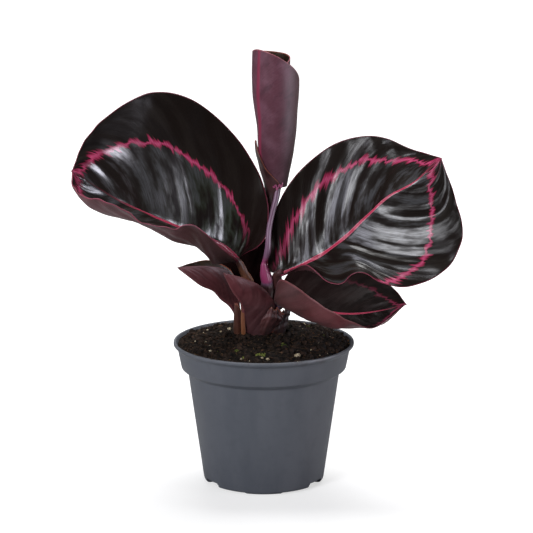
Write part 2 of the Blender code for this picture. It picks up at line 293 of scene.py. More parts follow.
def makeLeafTop(name, spec, groups):
    # Reads what is painted on each leaf, such as how satin it is and how strong and wide its pinks are
    material, tree, shader = startMaterial(name, specular=spec["specular"], coatRough=0.23)
    vein, across, warm, shine = (attribute(tree, key) for key in ("vein", "across", "warm", "shine"))
    ringGap, ribGap, edgeGap = (attribute(tree, key) for key in ("ringGap", "ribGap", "edgeGap"))
    streak = placeGroup(tree, groups["veins"], {"Vein": vein, "Across": across})
    ringWide = attribute(tree, "ringWide")
    ring = placeGroup(tree, groups["ring"], {"Gap": ringGap, "Vein": vein, "Width": ringWide})
    grain = placeGroup(tree, groups["grain"], {"Pore Size": 1400.0, "Mottle Size": 45.0})
    inside = spread(tree, ringGap, -4.0, 2.5, 1.0, 0.0)
    colour = blendColour(tree, spread(tree, streak["Streaks"], 0.4, 0.7), spec["dark"], spec["soft"])
    # A green tint along the veins at the leaf base, partly real and partly painted sheen where satin
    # highlights would be
    greenTintAndSheen = times(tree, times(tree, warm, inside), spread(tree, streak["Streaks"], 0.35, 0.6))
    colour = blendColour(tree, greenTintAndSheen, colour, spec["greenTintAndSheen"])
    # Painted sheen: a fixed grey is mixed in along the veins inside the ring, in place of satin highlights
    paintedSheen = times(tree, spread(tree, streak["Streaks"], 0.46, 0.66), inside)
    paintedSheen = times(tree, paintedSheen, spread(tree, streak["Fibres"], 0.3, 0.62, 0.2, 0.75))
    colour = blendColour(tree, times(tree, paintedSheen, shine), colour, spec["paintedSheen"])
    # Painted shade: the top darkens to maroon where each leaf is painted so, mostly towards its base
    colour = blendColour(tree, attribute(tree, "paintedShade"), colour, spec["shadeMaroon"])
    patches = spread(tree, streak["Streaks"], 0.36, 0.60, spec["satin"][0], spec["satin"][1])
    patches = times(tree, patches, spread(tree, inside, 0.0, 1.0, attribute(tree, "outerShine"), 1.0))
    satin = times(tree, patches, spread(tree, streak["Fibres"], 0.3, 0.62, 0.35, 1.0))
    satin = times(tree, satin, shine)
    pink = blendColour(tree, ring["Core"], spec["ring"], spec["ringCore"])
    ringed = times(tree, ring["Mask"], attribute(tree, "ringTone"))
    ringed = times(tree, ringed, spread(tree, streak["Fibres"], 0.25, 0.55, 0.62, 0.98))
    colour = blendColour(tree, ringed, colour, pink)
    ribShare = maths(tree, "DIVIDE", ribGap, attribute(tree, "ribWidth"))
    rib = blendColour(tree, spread(tree, ribShare, 0.45, 0.95), spec["midrib"], spec["midribSide"])
    ribbed = times(tree, spread(tree, ribShare, 0.95, 1.15, 1.0, 0.0), attribute(tree, "ribTone"))
    colour = blendColour(tree, ribbed, colour, rib)
    colour = blendColour(tree, spread(tree, edgeGap, 0.25, 0.7, 1.0, 0.0), colour, spec["margin"])
    rough = spread(tree, patches, 0.0, 1.0, spec["rough"][0], spec["rough"][1], smooth=False)
    lines = times(tree, streak["Lines"], 0.7)
    lines = plus(tree, lines, times(tree, streak["Fibres"], 0.8))
    height = plus(tree, lines, times(tree, grain["Pores"], 0.12))
    finishMaterial(tree, shader, colour, rough, height, spec["veinBump"], 0.0003)
    tree.links.new(satin, shader.inputs["Coat Weight"])
    return material


leafUnder = {
    "base": (0.130, 0.027, 0.034),
    "pale": (0.185, 0.052, 0.060),
    "warm": (0.065, 0.022, 0.017),
    "deep": (0.022, 0.008, 0.009),
    "midrib": (0.15, 0.04, 0.045),
    "margin": (0.145, 0.040, 0.044),
    "sheen": 0.03,
    "rough": (0.40, 0.60),
    "veinBump": 0.25,
}
bladeBack = {
    "base": (0.100, 0.030, 0.037),
    "pale": (0.150, 0.052, 0.060),
    "warm": (0.055, 0.019, 0.014),
    "deep": (0.020, 0.007, 0.009),
    "midrib": (0.15, 0.035, 0.045),
    "margin": (0.26, 0.040, 0.075),
    "sheen": 0.03,
    "rough": (0.42, 0.6),
    "veinBump": 0.4,
}
youngUnder = {
    "base": (0.105, 0.028, 0.046),
    "pale": (0.175, 0.068, 0.100),
    "warm": (0.095, 0.038, 0.036),
    "deep": (0.028, 0.008, 0.014),
    "midrib": (0.24, 0.022, 0.060),
    "margin": (0.30, 0.085, 0.105),
    "sheen": 0.04,
    "rough": (0.5, 0.66),
    "veinBump": 0.12,
}
youngTop = {
    "base": (0.055, 0.026, 0.010),
    "pale": (0.095, 0.055, 0.018),
    "warm": (0.030, 0.012, 0.008),
    "deep": (0.012, 0.005, 0.004),
    "midrib": (0.25, 0.05, 0.06),
    "margin": (0.26, 0.07, 0.035),
    "sheen": 0.05,
    "rough": (0.35, 0.5),
    "veinBump": 0.3,
}
sheathSkin = {
    "base": (0.040, 0.012, 0.012),
    "pale": (0.120, 0.040, 0.043),
    "warm": (0.24, 0.088, 0.034),
    "deep": (0.014, 0.004, 0.004),
    "midrib": (0.085, 0.018, 0.016),
    "margin": (0.20, 0.058, 0.040),
    "sheen": 0.03,
    "rough": (0.34, 0.55),
    "veinBump": 0.35,
}


def makeLeafUnder(name, spec, groups):
    # warm is painted on each piece to bring in the second colour, and a painted shade darkens it towards the
    # deep one
    material, tree, shader = startMaterial(name, specular=0.28, sheen=spec["sheen"])
    vein, across, warm, paintedShade = (attribute(tree, key) for key in ("vein", "across", "warm", "paintedShade"))
    ribGap, edgeGap, ribWidth = (attribute(tree, key) for key in ("ribGap", "edgeGap", "ribWidth"))
    streak = placeGroup(tree, groups["veins"], {"Vein": vein, "Across": across})
    grain = placeGroup(tree, groups["grain"], {"Pore Size": 1600.0, "Mottle Size": 55.0})
    colour = blendColour(tree, spread(tree, grain["Mottle"], 0.38, 0.68), spec["base"], spec["pale"])
    patchyWarm = times(tree, warm, spread(tree, streak["Streaks"], 0.2, 0.55, 0.6, 1.0))
    colour = blendColour(tree, patchyWarm, colour, spec["warm"])
    colour = blendColour(tree, spread(tree, streak["Streaks"], 0.5, 0.8, 0.0, 0.45), colour, spec["deep"])
    colour = blendColour(tree, spread(tree, streak["Lines"], 0.0, 0.3, 0.25, 0.0), colour, spec["deep"])
    # Painted shade: darker towards the deep colour where each piece is painted so
    colour = blendColour(tree, paintedShade, colour, spec["deep"])
    ribMask = spread(tree, maths(tree, "DIVIDE", ribGap, ribWidth), 0.7, 2.0, 0.9, 0.0)
    colour = blendColour(tree, ribMask, colour, spec["midrib"])
    colour = blendColour(tree, spread(tree, edgeGap, 0.3, 0.85, 0.9, 0.0), colour, spec["margin"])
    rough = spread(tree, grain["Mottle"], 0.3, 0.7, spec["rough"][0], spec["rough"][1], smooth=False)
    lines = plus(tree, times(tree, streak["Lines"], 0.6), times(tree, streak["Fibres"], 0.5))
    height = plus(tree, lines, times(tree, grain["Pores"], 0.3))
    finishMaterial(tree, shader, colour, rough, height, spec["veinBump"], 0.00025)
    return material


# Leaves. Outlines are in millimetres from base to tip; left and right are as seen from above
# with the tip away
def smoothLine(points, places):
    knots = np.array(points, float)
    if knots.ndim == 1:
        knots = knots[:, None]
    padded = np.vstack([2 * knots[0] - knots[1], knots, 2 * knots[-1] - knots[-2]])
    place = np.asarray(places, float) * (len(knots) - 1)
    i = np.clip(place.astype(int), 0, len(knots) - 2)
    u = (place - i)[:, None]
    a, b, c, d = (padded[i + k] for k in range(4))
    square = 2 * a - 5 * b + 4 * c - d
    cube = 3 * b - a - 3 * c + d
    return 0.5 * (2 * b + (c - a) * u + square * u**2 + cube * u**3)


def gridNormals(grid):
    # Points out of the upper side of a grid whose rows run to the tip and columns from left to right
    down = np.gradient(grid, axis=0)
    right = np.gradient(grid, axis=1)
    normal = np.cross(right, down)
    length = np.linalg.norm(normal, axis=2, keepdims=True)
    normal = normal / np.maximum(length, 1e-9)
    for row, source in ((0, 1), (-1, -2)):
        weak = length[row, :, 0] < 1e-3
        normal[row, weak] = normal[source, weak]
    return normal


def waves(place, seed, pitches):
    # A sum of sines with seeded phases; pitches lists the cycles and height of each
    rng = random.Random(seed)
    total = 0
    for cycles, height in pitches:
        total = total + height * np.sin(2 * math.pi * (cycles * place + rng.random()))
    return total


def shellMesh(name, top, under, fields, materials):
    # Closes two grids into one thin shell: slot 0 above, slot 1 below, slot 2 around the rim
    rows, columns = top.shape[:2]
    count = rows * columns
    points = np.vstack([top.reshape(-1, 3), under.reshape(-1, 3)])
    index = np.arange(count).reshape(rows, columns)
    a, b, c, d = index[:-1, :-1], index[:-1, 1:], index[1:, 1:], index[1:, :-1]
    upper = np.stack([a, b, c, d], axis=-1).reshape(-1, 4)
    lower = np.stack([d, c, b, a], axis=-1).reshape(-1, 4) + count
    loop = np.concatenate([index[0, :-1], index[:-1, -1], index[-1, :0:-1], index[:0:-1, 0]])
    after = np.roll(loop, -1)
    rim = np.stack([after, loop, loop + count, after + count], axis=-1)
    faces = np.vstack([upper, lower, rim])
    mesh = pointMesh(name, points, faces.tolist())
    slots = np.concatenate([np.zeros(len(upper)), np.ones(len(lower)), np.full(len(rim), 2)]).astype(np.int32)
    mesh.polygons.foreach_set("material_index", slots)
    for label, values in fields.items():
        layer = mesh.attributes.new(label, "FLOAT", "POINT")
        flat = np.asarray(values, np.float32).reshape(-1)
        layer.data.foreach_set("value", np.concatenate([flat, flat]))
    return finishMesh(name, mesh, materials, dissolve=True)


def leafGrid(leaf):
    q = np.linspace(0, 1, leaf["rows"])
    s = np.linspace(-1, 1, 2 * leaf["halfColumns"] + 1)
    spine = smoothLine(leaf["midrib"], q)
    along = np.gradient(spine, axis=0)
    middle = np.zeros((len(q), len(s), 3))
    breadth = np.zeros((len(q), len(s)))
    ring = np.full((len(q), len(s)), 99.0)
    for key, side in (("left", -1), ("right", 1)):
        across = smoothLine(leaf[key], q) - spine
        width = np.linalg.norm(across, axis=1)
        under = side * np.cross(along, across)
        under = under / np.maximum(np.linalg.norm(under, axis=1, keepdims=True), 1e-9)
        sag = smoothLine(leaf[key + "Sag"], q)
        here = s <= 0 if side < 0 else s >= 0
        t = np.abs(s[here])[None, :, None]
        middle[:, here] = spine[:, None] + t * across[:, None] + 4 * t * (1 - t) * (sag * under)[:, None]
        breadth[:, here] = width[:, None]
        if leaf.get(key + "Ring"):
            target = smoothLine(leaf[key + "Ring"], q)
            ring[:, here] = (t[..., 0] - target) * width[:, None]
    return q, s, middle, breadth, ring


# Painted along each leaf, as evenly spaced levels from base to tip, and their values where a leaf names none
painted = {
    "warm": (0.0,),
    # how far a leaf darkens as painted shade
    "paintedShade": (0.0,),
    "shine": (1.0,),
    "outerShine": (0.035,),  # satin outside the ring, as a share of the satin inside it
    "ringTone": (1.0,),
    "ringWide": (1.0,),
    "ribTone": (1.0,),
}


def makeLeaf(name, leaf, materials):
    q, s, middle, breadth, ring = leafGrid(leaf)
    reach = np.abs(s)[None, :] * np.ones((len(q), 1))
    place = q[:, None] - leaf["sweep"] * reach**1.3
    vein = place * leaf["veins"] + np.where(s < 0, 40, 0)[None, :]
    body = np.sin(math.pi * np.clip(reach, 0, 1)) ** 0.5 * np.clip((1 - q[:, None]) * 8, 0, 1)
    body = body * np.clip(q[:, None] * 6 + 0.15, 0, 1)
    lift = body * waves(place + np.where(s < 0, 0.37, 0)[None, :], leaf["seed"], leaf["pleats"])
    edge = reach**4 * waves(q[:, None] + 0.03 * np.sign(s)[None, :], leaf["seed"] + 5, leaf["edgeWaves"])
    edge = edge * np.clip((1 - q[:, None]) * 6, 0, 1) * np.clip(q[:, None] * 6, 0, 1)
    normal = gridNormals(middle)
    middle = middle + (lift + edge)[..., None] * normal
    normal = gridNormals(middle)
    ribGap = reach * breadth
    edgeGap = (1 - reach) * breadth
    ribWidth = leaf["ribWidth"][0] + (leaf["ribWidth"][1] - leaf["ribWidth"][0]) * q[:, None] + 0 * reach
    half = leaf["thickness"] / 2 * (0.55 + 0.45 * np.clip(edgeGap / 3, 0, 1))
    rib = np.exp(-((ribGap / (ribWidth * 1.5)) ** 2))
    top = middle + (half - 0.35 * ribWidth * rib)[..., None] * normal
    under = middle - (half + 1.1 * ribWidth * rib)[..., None] * normal
    fields = {
        "vein": vein,
        "across": reach * 3 + np.where(s < 0, 7, 0)[None, :],
        "ringGap": ring,
        "ribGap": ribGap,
        "edgeGap": edgeGap,
        "ribWidth": ribWidth,
    }
    for key, plain in painted.items():
        fields[key] = ramp(leaf.get(key, plain), q)[:, None] + 0 * reach
    return shellMesh(name, top, under, fields, materials)


def ramp(levels, q):
    # Evenly spaced levels from base to tip, read at q
    return np.interp(q, np.linspace(0, 1, len(levels)), levels)


bigBuild = {"rows": 200, "halfColumns": 60, "thickness": 0.7, "veins": 36, "sweep": 0.33}
smallBuild = {"rows": 110, "halfColumns": 26, "thickness": 0.6}
leftLeaf = {
    "midrib": [
        (-17, 6, 149), (-26, 4, 158), (-43, -4, 168), (-60, -14, 177),
        (-77, -25, 187), (-94, -36, 198), (-109, -47, 210), (-122, -60, 222),
    ],
    "left": [
        (-17, 4, 149), (-27, -24, 164), (-44, -50, 184), (-58, -68, 186),
        (-76, -80, 194), (-93, -88, 205), (-109, -86, 210), (-120, -72, 214), (-122, -60, 222),
    ],
    "right": [
        (-15, 7, 151), (0, 0, 164), (2.5, 6, 191), (-14.5, 14, 225),
        (-45, 18, 253), (-76, 10, 260), (-104, -18, 247), (-117, -40, 234), (-122, -60, 222),
    ],
    "leftSag": [2, 12, 10, 7, 4, 7, 9, 4, 0],
    "rightSag": [0, 4, 8, 8, 6, 5, 3, 1, 0],
    "leftRing": [0.5, 0.6, 0.6, 0.6, 0.6, 0.6, 0.55, 0.45, 0.0],
    "rightRing": [0.5, 0.55, 0.58, 0.6, 0.59, 0.58, 0.6, 0.51, 0.0],
    **bigBuild,
    "ribWidth": (1.3, 0.4),
    "pleats": [(4, 0.8), (7, 0.55), (12, 0.2), (31, 0.05)],
    "ringTone": (0.0, 0.1, 0.9, 1.0, 1.0, 1.0, 1.0, 1.0, 1.0),
    "edgeWaves": [(3, 0.9), (7, 0.6), (13, 0.3)],
    "warm": (1.0, 0.7, 0.1, 0.0, 0.0),
    "paintedShade": (0.5, 0.1, 0.0, 0.0, 0.0),
    "ribTone": (0.9, 0.95, 1.0, 0.15, 0.0),
    "ringWide": (0.7, 0.8, 0.9, 1.25, 1.7, 1.3),
    "seed": 11,
}
rightLeaf = {
    "midrib": [
        (10, -2, 141), (25, -5, 148), (40, -9, 157), (54, -13, 169),
        (67, -17, 183), (81, -21, 197), (97, -24, 207), (115, -22, 223),
    ],
    "left": [
        (3.5, -1, 142), (2.5, 3.5, 151), (7.5, 8, 181), (22.5, 13, 206),
        (48, 14, 226), (74, 11, 231), (96, 0, 225), (115, -22, 223),
    ],
    "right": [
        (11, -3, 140), (29, -20, 151), (46, -36, 142), (63, -44, 151),
        (86, -50, 144), (114, -50, 152), (128, -44, 173), (124, -34, 198), (115, -22, 223),
    ],
    "leftSag": [0, 2, 4, 5, 5, 4, 2, 0],
    "rightSag": [0, 2, 2, 2, 2, 2, 2, 1, 0],
    "leftRing": [0.6, 0.68, 0.68, 0.7, 0.71, 0.68, 0.62, 0.64, 0.0],
    "rightRing": [1.4, 1.3, 1.25, 1.12, 0.90, 0.74, 0.55, 0.36, 0.0],
    **bigBuild,
    "ribWidth": (1.5, 0.45),
    "pleats": [(4, 0.7), (7, 0.5), (12, 0.2), (31, 0.05)],
    "ringTone": (0.0, 0.3, 0.9, 1.0, 1.0, 1.0, 1.0, 1.0, 1.0),
    "edgeWaves": [(3, 0.8), (8, 0.5), (13, 0.3)],
    "warm": (0.3, 0.1, 0.0, 0.0),
    "paintedShade": (0.5, 0.1, 0.0, 0.0),
    "ribTone": (0.8, 1.0, 1.0, 1.0, 1.0, 1.0, 0.0),
    "ringWide": (0.9, 1.3, 1.3, 1.0, 0.9),
    "outerShine": (0.05, 0.15, 0.4, 0.45, 0.4),
    "seed": 23,
}
lowerRightLeaf = {
    "midrib": [
        (9, -1, 121), (17, -6, 120), (32, -11, 120), (47, -16, 118),
        (62, -22, 119), (79, -28, 123), (93, -32, 128),
    ],
    "left": [
        (9, 1, 124), (16.5, 13, 138), (31, 25, 143.5), (53, 30, 142),
        (71, 24, 138), (86, 4, 130), (93, -32, 128),
    ],
    "right": [
        (8, -3, 122), (11, -18, 141), (26, -38, 137), (40, -50, 130),
        (54, -56, 123), (73, -52, 118), (93, -32, 128),
    ],
    "leftSag": [0, 1, 2, 3, 3, 2, 0],
    "rightSag": [0, 10, 12, 11, 7, 3, 0],
    "leftRing": [0.6, 0.65, 0.7, 0.7, 0.65, 0.5, 0.0],
    "rightRing": [0.6, 0.65, 0.7, 0.7, 0.65, 0.5, 0.0],
    "rows": 140,
    "halfColumns": 40,
    "thickness": 0.65,
    "ribWidth": (1.2, 0.4),
    "veins": 30,
    "sweep": 0.33,
    "pleats": [(4, 0.3), (7, 0.20), (13, 0.12), (26, 0.05)],
    "edgeWaves": [(3, 0.5), (7, 0.3)],
    "warm": (0.9, 0.5, 0.1, 0.0),
    "paintedShade": (0.75, 0.3, 0.0, 0.0),
    "shine": (0.0, 0.0, 0.0, 0.0, 0.03, 0.3, 0.75),
    "ringTone": (0.0, 0.0, 0.0, 0.08, 0.2, 0.45),
    "ribTone": (1.0, 1.0, 1.0, 0.9, 0.5, 0.0),
    "seed": 31,
}
lowerLeftLeaf = {
    "midrib": [
        (-18, 6, 98.5), (-18, 6, 110), (-22, 4, 118), (-28, 0, 124),
        (-33, -6, 131), (-41, -12, 136), (-48, -19, 143), (-56, -26, 151),
    ],
    "left": [
        (-16, 4, 98.5), (-16, 3, 115), (-19, 1, 131), (-24, -6, 144),
        (-31, -12, 148), (-39, -17, 150), (-48, -22, 151), (-56, -26, 151),
    ],
    "right": [
        (-16, 10, 98.5), (-16, 12, 112), (-17, 15, 125), (-21, 15, 138),
        (-28, 12, 144), (-37, 4, 149), (-47, -8, 150), (-56, -26, 151),
    ],
    "leftSag": [0, 0, 1, 2, 2, 1, 1, 0],
    "rightSag": [0, 0, 1, 2, 2, 1, 1, 0],
    **smallBuild,
    "ribWidth": (1.2, 0.4),
    "veins": 26,
    "sweep": 0.4,
    "pleats": [(9, 0.10), (17, 0.05)],
    "edgeWaves": [(3, 0.3), (7, 0.2)],
    "warm": (0.5, 0.3, 0.0, 0.0),
    "paintedShade": (0.4, 0.5, 0.3, 0.1),
    "seed": 43,
}
backLeaf = {
    "midrib": [
        (-7, 17, 98.5), (-9, 18, 115), (-11, 20, 131), (-13, 23, 147),
        (-17, 27, 161), (-22, 32, 174), (-28, 38, 186),
    ],
    "left": [
        (-10, 16, 98.5), (-15, 17, 115), (-26, 20, 131), (-33, 22, 147),
        (-35, 25, 161), (-34, 31, 174), (-28, 38, 186),
    ],
    "right": [
        (-3, 16, 98.5), (-2, 17, 115), (1, 18, 131), (2.5, 19, 147),
        (0, 24, 161), (-10, 32, 174), (-28, 38, 186),
    ],
    "leftSag": [1, 2, 3, 3, 3, 2, 0],
    "rightSag": [1, 2, 3, 3, 3, 2, 0],
    **smallBuild,
    "ribWidth": (1.2, 0.4),
    "veins": 26,
    "sweep": 0.33,
    "pleats": [(8, 0.22), (15, 0.14), (27, 0.06)],
    "edgeWaves": [(3, 0.5), (7, 0.3)],
    "warm": (0.3, 0.0, 0.0),
    "paintedShade": (0.9, 0.6, 0.3),
    "shine": (0.0,),
    "ribTone": (0.0,),
    "seed": 49,
}
frontLeaf = {
    "midrib": [
        (-12, 0, 98.6), (-13, -4, 110), (-14, -8, 120), (-16, -12, 126),
        (-20, -15, 132), (-23, -18, 139), (-26, -21, 146),
    ],
    "left": [
        (-1, -6, 98.6), (3, -6, 110), (7, -6, 121), (3, -7, 129),
        (-4, -11, 136), (-14, -17, 142), (-26, -21, 146),
    ],
    "right": [
        (-12, 6, 98.6), (-12, 3, 110), (-12, -1, 119), (-12, -5, 126),
        (-14, -8, 132), (-18, -13, 138), (-26, -21, 146),
    ],
    "leftSag": [2, 3, 4, 3, 3, 2, 0],
    "rightSag": [0, 0, 0, 1, 1, 1, 0],
    **smallBuild,
    "ribWidth": (0.9, 0.35),
    "veins": 24,
    "sweep": 0.5,
    "pleats": [(5, 0.14), (11, 0.06)],
    "edgeWaves": [(3, 0.3), (7, 0.15)],
    "warm": (0.2, 0.1, 0.0, 0.0),
    "paintedShade": (0.75, 0.7, 0.25, 0.0),
    "seed": 57,
}


# The newest leaf, wound into a tube from its outer margin inwards, underside out
rolledLeaf = {
    "stations": [
        (9, 14, 197, 6), (7.6, 14, 209, 9.8), (7.6, 14, 220, 12), (7.7, 14, 236, 13.5), (7, 14, 261, 16),
        (7, 14, 290, 16),
    ],
    "tops": [268, 279, 287, 290, 287, 286, 285, 284, 282, 279, 277, 279, 282],
    "turn": 540,
    "innerShare": 0.2,
    "tightening": 1.8,
    "ribTurns": (163, 152, 140, 133, 130),  # degrees from the outer margin, base to top
    "browning": (-60, 30),  # the outer turn is browner between these angles
    "rows": 120,
    "columns": 190,
    "thickness": 0.6,
    "seed": 71,
}


def makeRolledLeaf(name, leaf, materials):
    share = np.linspace(0, 1, leaf["columns"])
    top = smoothLine(leaf["tops"], share)[:, 0]
    stations = smoothLine(leaf["stations"], np.linspace(0, 1, 60))
    base = leaf["stations"][0][2]
    level = np.linspace(0, 1, leaf["rows"])[:, None]
    height = base + (top - base)[None, :] * level
    x, y, radius = (np.interp(height, stations[:, 2], stations[:, i]) for i in (0, 1, 3))
    radius = radius * (1 - (1 - leaf["innerShare"]) * share**leaf["tightening"])[None, :]
    angle = -math.radians(leaf["turn"]) * share[None, :]
    ripples = waves(level * 0.6 + 0.5 * share[None, :], leaf["seed"], [(3, 0.6), (5, 0.4), (11, 0.1)])
    radius = radius + 0.22 * ripples
    grid = np.stack([x + radius * np.cos(angle), y + radius * np.sin(angle), height], axis=-1)
    outward = np.stack([np.cos(angle) + 0 * height, np.sin(angle) + 0 * height, 0 * height], axis=-1)
    half = leaf["thickness"] / 2
    turned = -np.degrees(angle) + 0 * height
    ribGap = np.radians(np.abs(turned - ramp(leaf["ribTurns"], level))) * radius
    ribWidth = 1.7 - 0.9 * level + 0 * height
    rib = np.exp(-((ribGap / (ribWidth * 1.2)) ** 2))
    inner = grid - half * outward
    outer = grid + (half + 0.35 * ribWidth * rib)[..., None] * outward
    length = (height - base) / 95
    margin = np.minimum(np.radians(turned) * radius, top[None, :] - height)
    low, high = leaf["browning"]
    browned = np.clip((np.degrees(angle) - low) / (high - low) * 2, 0, 1) + 0 * height
    # Painted shade: the tube darkens low down and on its inner turns
    darkLow = np.clip(1 - length * 1.5, 0, 1) * 0.55
    inside = np.clip((turned - 190) / 60, 0, 1) * 0.6
    fields = {
        "vein": (length - 0.3 * np.sqrt(ribGap / 40)) * 22,
        "across": ribGap / 12,
        "ribGap": ribGap,
        "edgeGap": np.abs(margin),
        "ribWidth": ribWidth,
        "warm": browned * (turned < 120),
        "paintedShade": np.maximum(darkLow, inside),
    }
    return shellMesh(name, inner, outer, fields, materials)


# Sheaths: part of a tube around the stalk feet, open at one side, with a torn and wrinkled upper edge
def makeSheath(name, sheath, materials):
    q = np.linspace(0, 1, sheath["rows"])
    s = np.linspace(-1, 1, sheath["columns"])
    stations = smoothLine(sheath["stations"], q)  # x, y, z, radius, half angle in degrees
    facing = math.radians(sheath["facing"])
    angle = facing + np.radians(stations[:, 4])[:, None] * s[None, :]
    around = waves(s[None, :] * 0.5 + 0.12 * q[:, None], sheath["seed"], sheath["folds"])
    level = waves(q[:, None] + 0.15 * s[None, :] ** 2, sheath["seed"] + 3, sheath["creases"])
    radius = stations[:, 3][:, None] + around * (0.3 + 0.7 * q[:, None]) + level * q[:, None]
    torn = sheath["torn"] * waves(s[None, :] * 0.5, sheath["seed"] + 9, [(3, 0.6), (7, 0.3), (17, 0.15)])
    dip = sheath["dip"] * q[:, None] ** 2 * s[None, :] ** 2
    height = stations[:, 2][:, None] + torn * q[:, None] ** 4 - dip
    x = stations[:, 0][:, None] + radius * np.cos(angle) * sheath["squash"][0]
    y = stations[:, 1][:, None] + radius * np.sin(angle) * sheath["squash"][1]
    grid = np.stack([x, y, height], axis=-1)
    normal = gridNormals(grid)
    outward = np.stack([np.cos(angle), np.sin(angle), 0 * angle], axis=-1)
    if (normal * outward).sum() < 0:
        normal = -normal
    half = sheath["thickness"] / 2
    breadth = np.radians(stations[:, 4])[:, None] * radius
    sideGap = (1 - np.abs(s))[None, :] * breadth
    topGap = (1 - q)[:, None] * (stations[-1, 2] - stations[0, 2]) + 0 * angle
    edgeGap = np.minimum(sideGap, topGap)
    edged = np.clip(1 - edgeGap / sheath["edging"], 0, 1) if sheath["edging"] else 0 * edgeGap
    fields = {
        "vein": s[None, :] * breadth / 2.5 + 0 * q[:, None],
        "across": q[:, None] * 2 + 0 * s[None, :],
        "ribGap": np.full(angle.shape, 99.0),
        "edgeGap": edgeGap,
        "ribWidth": np.ones(angle.shape),
        "warm": np.maximum(edged, ramp(sheath["warm"], q)[:, None] + 0 * angle),
        # Painted shade, from each sheath's levels, kept off its warm edges
        "paintedShade": ramp(sheath["paintedShade"], q)[:, None] * np.clip(1.2 - edged, 0, 1),
    }
    return shellMesh(name, grid + half * normal, grid - half * normal, fields, materials)


sheaths = {
    "crown_sheath": {
        "stations": [
            (-7, 6, 93, 7, 170), (-7, 6, 99, 7.5, 165), (-4, 5, 106, 9.5, 150), (-1.5, 5, 113, 11.5, 125),
            (-0.5, 5, 119, 12, 95),
        ],
        "facing": -90, "squash": (1.0, 0.9), "folds": [(2, 0.7), (5, 0.4), (9, 0.18)],
        "creases": [(2, 0.6), (4, 0.4), (7, 0.2)], "torn": 1.2, "dip": 3, "edging": 0,
        "warm": (0.1, 0.05, 0.0), "paintedShade": (0.7, 0.5, 0.3, 0.2),
        "rows": 80, "columns": 120, "thickness": 0.8, "seed": 101,
    },
    "back_sheath": {
        "stations": [
            (-3, 9, 93, 12, 150), (-3, 9, 103, 11.5, 135), (-3, 10, 113, 10.5, 105), (-2, 11, 122, 9, 60),
        ],
        "facing": 85, "squash": (1.05, 0.85), "folds": [(2, 0.6), (5, 0.4), (11, 0.2)],
        "creases": [(3, 0.3), (6, 0.2)], "torn": 2.0, "dip": 4, "edging": 1.5,
        "warm": (0.4, 0.2, 0.1), "paintedShade": (0.5, 0.3, 0.2),
        "rows": 70, "columns": 110, "thickness": 0.7, "seed": 103,
    },
    "front_sheath": {
        "stations": [(-4, 1, 93, 6, 80), (-1, -1, 104, 7.5, 75), (3, -2, 112, 9, 68), (5, -2, 119, 9, 50)],
        "facing": -82, "squash": (1.0, 0.8), "folds": [(2, 0.5), (5, 0.35), (9, 0.15)],
        "creases": [(2, 0.5), (5, 0.3)], "torn": 1.6, "dip": 4, "edging": 1.0,
        "warm": (0.1, 0.05, 0.0), "paintedShade": (0.8, 0.5, 0.1, 0.0),
        "rows": 70, "columns": 90, "thickness": 0.6, "seed": 113,
    },
    "right_sheath": {
        "stations": [(5, 5, 93, 6.5, 80), (7, 5, 103, 8, 72), (9, 4, 111, 7.6, 60), (10.5, 3, 118, 6, 40)],
        "facing": -25, "squash": (1.0, 0.9), "folds": [(2, 0.5), (5, 0.3), (9, 0.15)],
        "creases": [(2, 0.4), (5, 0.3)], "torn": 1.8, "dip": 3, "edging": 1.2,
        "warm": (0.2, 0.1, 0.0), "paintedShade": (0.95, 0.8, 0.6),
        "rows": 60, "columns": 80, "thickness": 0.6, "seed": 131,
    },
    "roll_funnel": {
        "stations": [
            (4.2, 5, 176, 1.6, 150), (4.6, 10, 184, 3.0, 145), (6, 13.5, 192, 5.2, 135),
            (7.6, 14, 199, 7.3, 115), (7.6, 14, 209, 10.1, 60), (7.6, 14, 219, 12.4, 34),
            (7.6, 14, 227, 13.1, 12),
        ],
        "facing": 180, "squash": (1.0, 1.0), "folds": [(2, 0.2), (4, 0.1)],
        "creases": [(3, 0.15), (6, 0.08)], "torn": 0.5, "dip": 0, "edging": 0,
        "warm": (0.0, 0.0), "paintedShade": (0.8, 0.65, 0.45),
        "rows": 100, "columns": 80, "thickness": 0.5, "seed": 127,
    },
    "left_scale": {
        "stations": [
            (-16.5, 4, 94, 3.2, 150), (-17, 3, 104, 2.9, 140), (-17, 1, 113, 2.6, 120),
            (-17.5, -1, 121, 1.6, 80),
        ],
        "facing": -120, "squash": (1.0, 1.0), "folds": [(2, 0.15), (4, 0.1)],
        "creases": [(2, 0.1)], "torn": 0.8, "dip": 3, "edging": 2.2,
        "warm": (0.45, 0.3, 0.2), "paintedShade": (0.5, 0.4, 0.3),
        "rows": 50, "columns": 40, "thickness": 0.6, "seed": 107,
    },
    "front_scale": {
        "stations": [
            (-13, -2, 94, 1.6, 130), (-13.4, -4, 106, 1.4, 120), (-13.6, -6, 117, 1.2, 100),
            (-14.4, -8, 126, 0.6, 70),
        ],
        "facing": -150, "squash": (1.0, 1.0), "folds": [(2, 0.1), (4, 0.08)],
        "creases": [(2, 0.1)], "torn": 0.5, "dip": 2, "edging": 1.6,
        "warm": (1.0, 0.9, 0.6), "paintedShade": (0.25, 0.05, 0.1),
        "rows": 60, "columns": 36, "thickness": 0.6, "seed": 109,
    },
}


